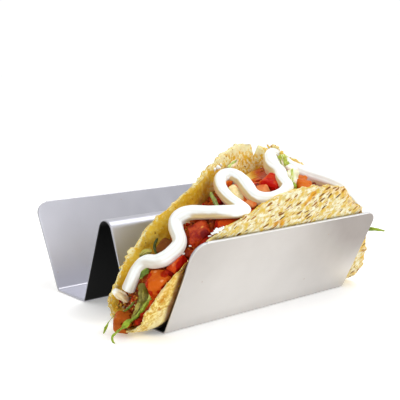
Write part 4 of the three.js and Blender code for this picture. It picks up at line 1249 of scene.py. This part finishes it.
def make_leaf(name, node, knots, widths, material, rib, seed):
    steps, columns = 24 * len(knots), 13
    carried = smooth_line([(*knot, width) for knot, width in zip(knots, widths)], steps)
    line, width = carried[:, :3], carried[:, 3]
    tangent, _, _ = frames_along(line)
    t = np.linspace(0, 1, steps)
    length = np.linalg.norm(np.diff(line, axis=0), axis=1).sum()
    wave = 0.35 * np.sin(length * t / 2)
    toward = np.stack([0 * t + MOUTH_WARD[0], 0 * t + MOUTH_WARD[1], wave], axis=-1)
    across = np.cross(toward, tangent)
    across /= np.linalg.norm(across, axis=1, keepdims=True)
    normal = np.cross(tangent, across)
    place = np.linspace(-1, 1, columns)
    edge = np.stack([0.22 * value_noise(line + side * 40, 1.3, seed) for side in (-1, 1)])
    half = width / 2 * np.sqrt(np.clip(np.minimum(t, 1 - t) * length / 0.8 + 0.05, 0, 1))
    torn = np.where(place[None, :] < 0, edge[0][:, None], edge[1][:, None])
    torn = torn * np.abs(place)[None, :]
    reach = half[:, None] * (place[None, :] + torn)
    ruffle = value_noise(line, 2.2, seed + 1)[:, None] * place[None, :] ** 2
    ruffle = width[:, None] / 3 * (0.4 * ruffle
                                   + 0.3 * np.sin(length * t * 1.5)[:, None] * place[None, :])
    cup = -0.07 * width[:, None] * (place**2)[None, :]
    thick = LEAF_THICKNESS / 2 * (1 - 0.6 * place**2)[None, :] + 0.05
    sheets = [line[:, None, :] + reach[..., None] * across[:, None, :]
              + (ruffle + cup + face * thick)[..., None] * normal[:, None, :] for face in (1, -1)]
    ring = np.concatenate([sheets[0], sheets[1][:, ::-1]], axis=1)
    count = 2 * columns
    faces = tube_faces(steps, count)
    slot = "pale_lettuce" if node in ("lettuce_loop", "lettuce_ridge") else "lettuce"
    piece = new_piece(name, ring.reshape(-1, 3), faces, material, slot, *([node] if node else []))
    over = np.concatenate([reach, reach[:, ::-1]], axis=1)
    along = np.broadcast_to((length * t)[:, None], over.shape)
    paint_vector(piece, "leaf", np.stack([along, over, 0 * over + 9 * seed], -1).reshape(-1, 3))
    rib_share = smoothstep(over / width[:, None] + 0.5, 1 - rib, 1 - 0.6 * rib) if rib else 0 * over
    paint(piece, rib=rib_share.reshape(-1))


def make_leaves():
    kinds = {kind: leaf_material("leaf_" + kind, *pair) for kind, pair in LEAF_KINDS.items()}
    for i, (node, knots, widths, kind, rib) in enumerate(LEAVES):
        name = (node or f"lettuce_extra_{i}") + "_leaf"
        make_leaf(name, node, knots, widths, kinds[kind], rib, 120 + 3 * i)


# ---- crumbs and drops ----
# Golden crumbs of the rim and of the frying, on the crema: (x, y, z, size).
CRUMBS = [(27, 14.5, 65, 1.1), (28.1, 15.9, 65.2, 1.4), (29, 16.9, 64.8, 1.2),
          (29.8, 17.4, 63.4, 0.7), (27.6, 15.4, 65.5, 0.6), (28.7, 16.2, 65.5, 0.6),
          (31, 18, 62.4, 1.3), (31.8, 18.4, 61.8, 0.8), (41, -54.9, 28.9, 0.55)]
# Drops of crema that fell beside the line: (x, y, z, size).
DROPS = [(54.2, -41.3, 39.6, 0.6), (54.5, -40.8, 39.9, 0.7), (54.8, -40.3, 40.3, 0.8),
         (55.1, -39.8, 40.6, 0.85), (55.4, -39.3, 40.9, 0.85), (55.7, -38.8, 41.2, 0.8),
         (56, -38.3, 41.5, 0.7), (56.3, -37.8, 41.7, 0.55),
         (53.6, -42, 38.8, 0.55), (46.1, -44.9, 34.3, 0.6), (45.3, -47.3, 31.5, 0.5),
         (31.3, -19.9, 58.8, 0.8), (31, -18.2, 59.5, 1.1), (29.7, -15.4, 60.2, 0.7)]
RIM_CRUMBS = 90


def make_crumbs(material, crema):
    crumbs, drops = np.array(CRUMBS), np.array(DROPS)
    make_bits("golden_crumbs", crumbs[:, :3], crumbs[:, 3], material, "corn_shell", 350)
    make_bits("crema_drops", drops[:, :3], drops[:, 3], crema, "crema", 352)
    draw = np.random.default_rng(354)
    turn = draw.uniform(0, 2 * math.pi, RIM_CRUMBS)
    radius = rim_radius(turn) + draw.uniform(-0.8, -0.1, RIM_CRUMBS)
    y = radius * np.sin(turn)
    places = shell_middle(-FOLD_SHIFT + radius * np.cos(turn), y)
    sizes = draw.uniform(0.2, 0.45, RIM_CRUMBS)
    make_bits("rim_crumbs", places, sizes, material, "corn_shell", 356)


# ---- the scene ----
make_camera()
make_surroundings()
make_stand(steel_material())
make_shell(shell_material())
crema_finish = crema_material()
make_crema(crema_finish)
filling = make_filling(mince_material("mince_in_sauce", srgb(140, 38, 12), srgb(188, 80, 26),
                                      srgb(220, 132, 40)))
make_mince_bits(filling, bits_material("mince_bits", [
    (0, srgb(134, 60, 22)), (0.4, srgb(200, 104, 32)), (0.62, srgb(196, 36, 12)),
    (0.76, srgb(236, 184, 70)), (0.88, srgb(244, 224, 180))]))
tomato_kinds = {kind: tomato_material("tomato_" + kind, *pair) for kind, pair in TOMATO.items()}
tomato_kinds["pulp"] = pulp_material()
make_dice(tomato_kinds)
make_extra_dice(tomato_kinds)
make_slice(flesh_material())
make_onions(onion_material())
make_leaves()
make_crumbs(bits_material("crumb_gold", [(0, srgb(228, 192, 84)), (0.5, srgb(240, 220, 148)),
                                         (0.85, srgb(214, 160, 60))], 0.88), crema_finish)
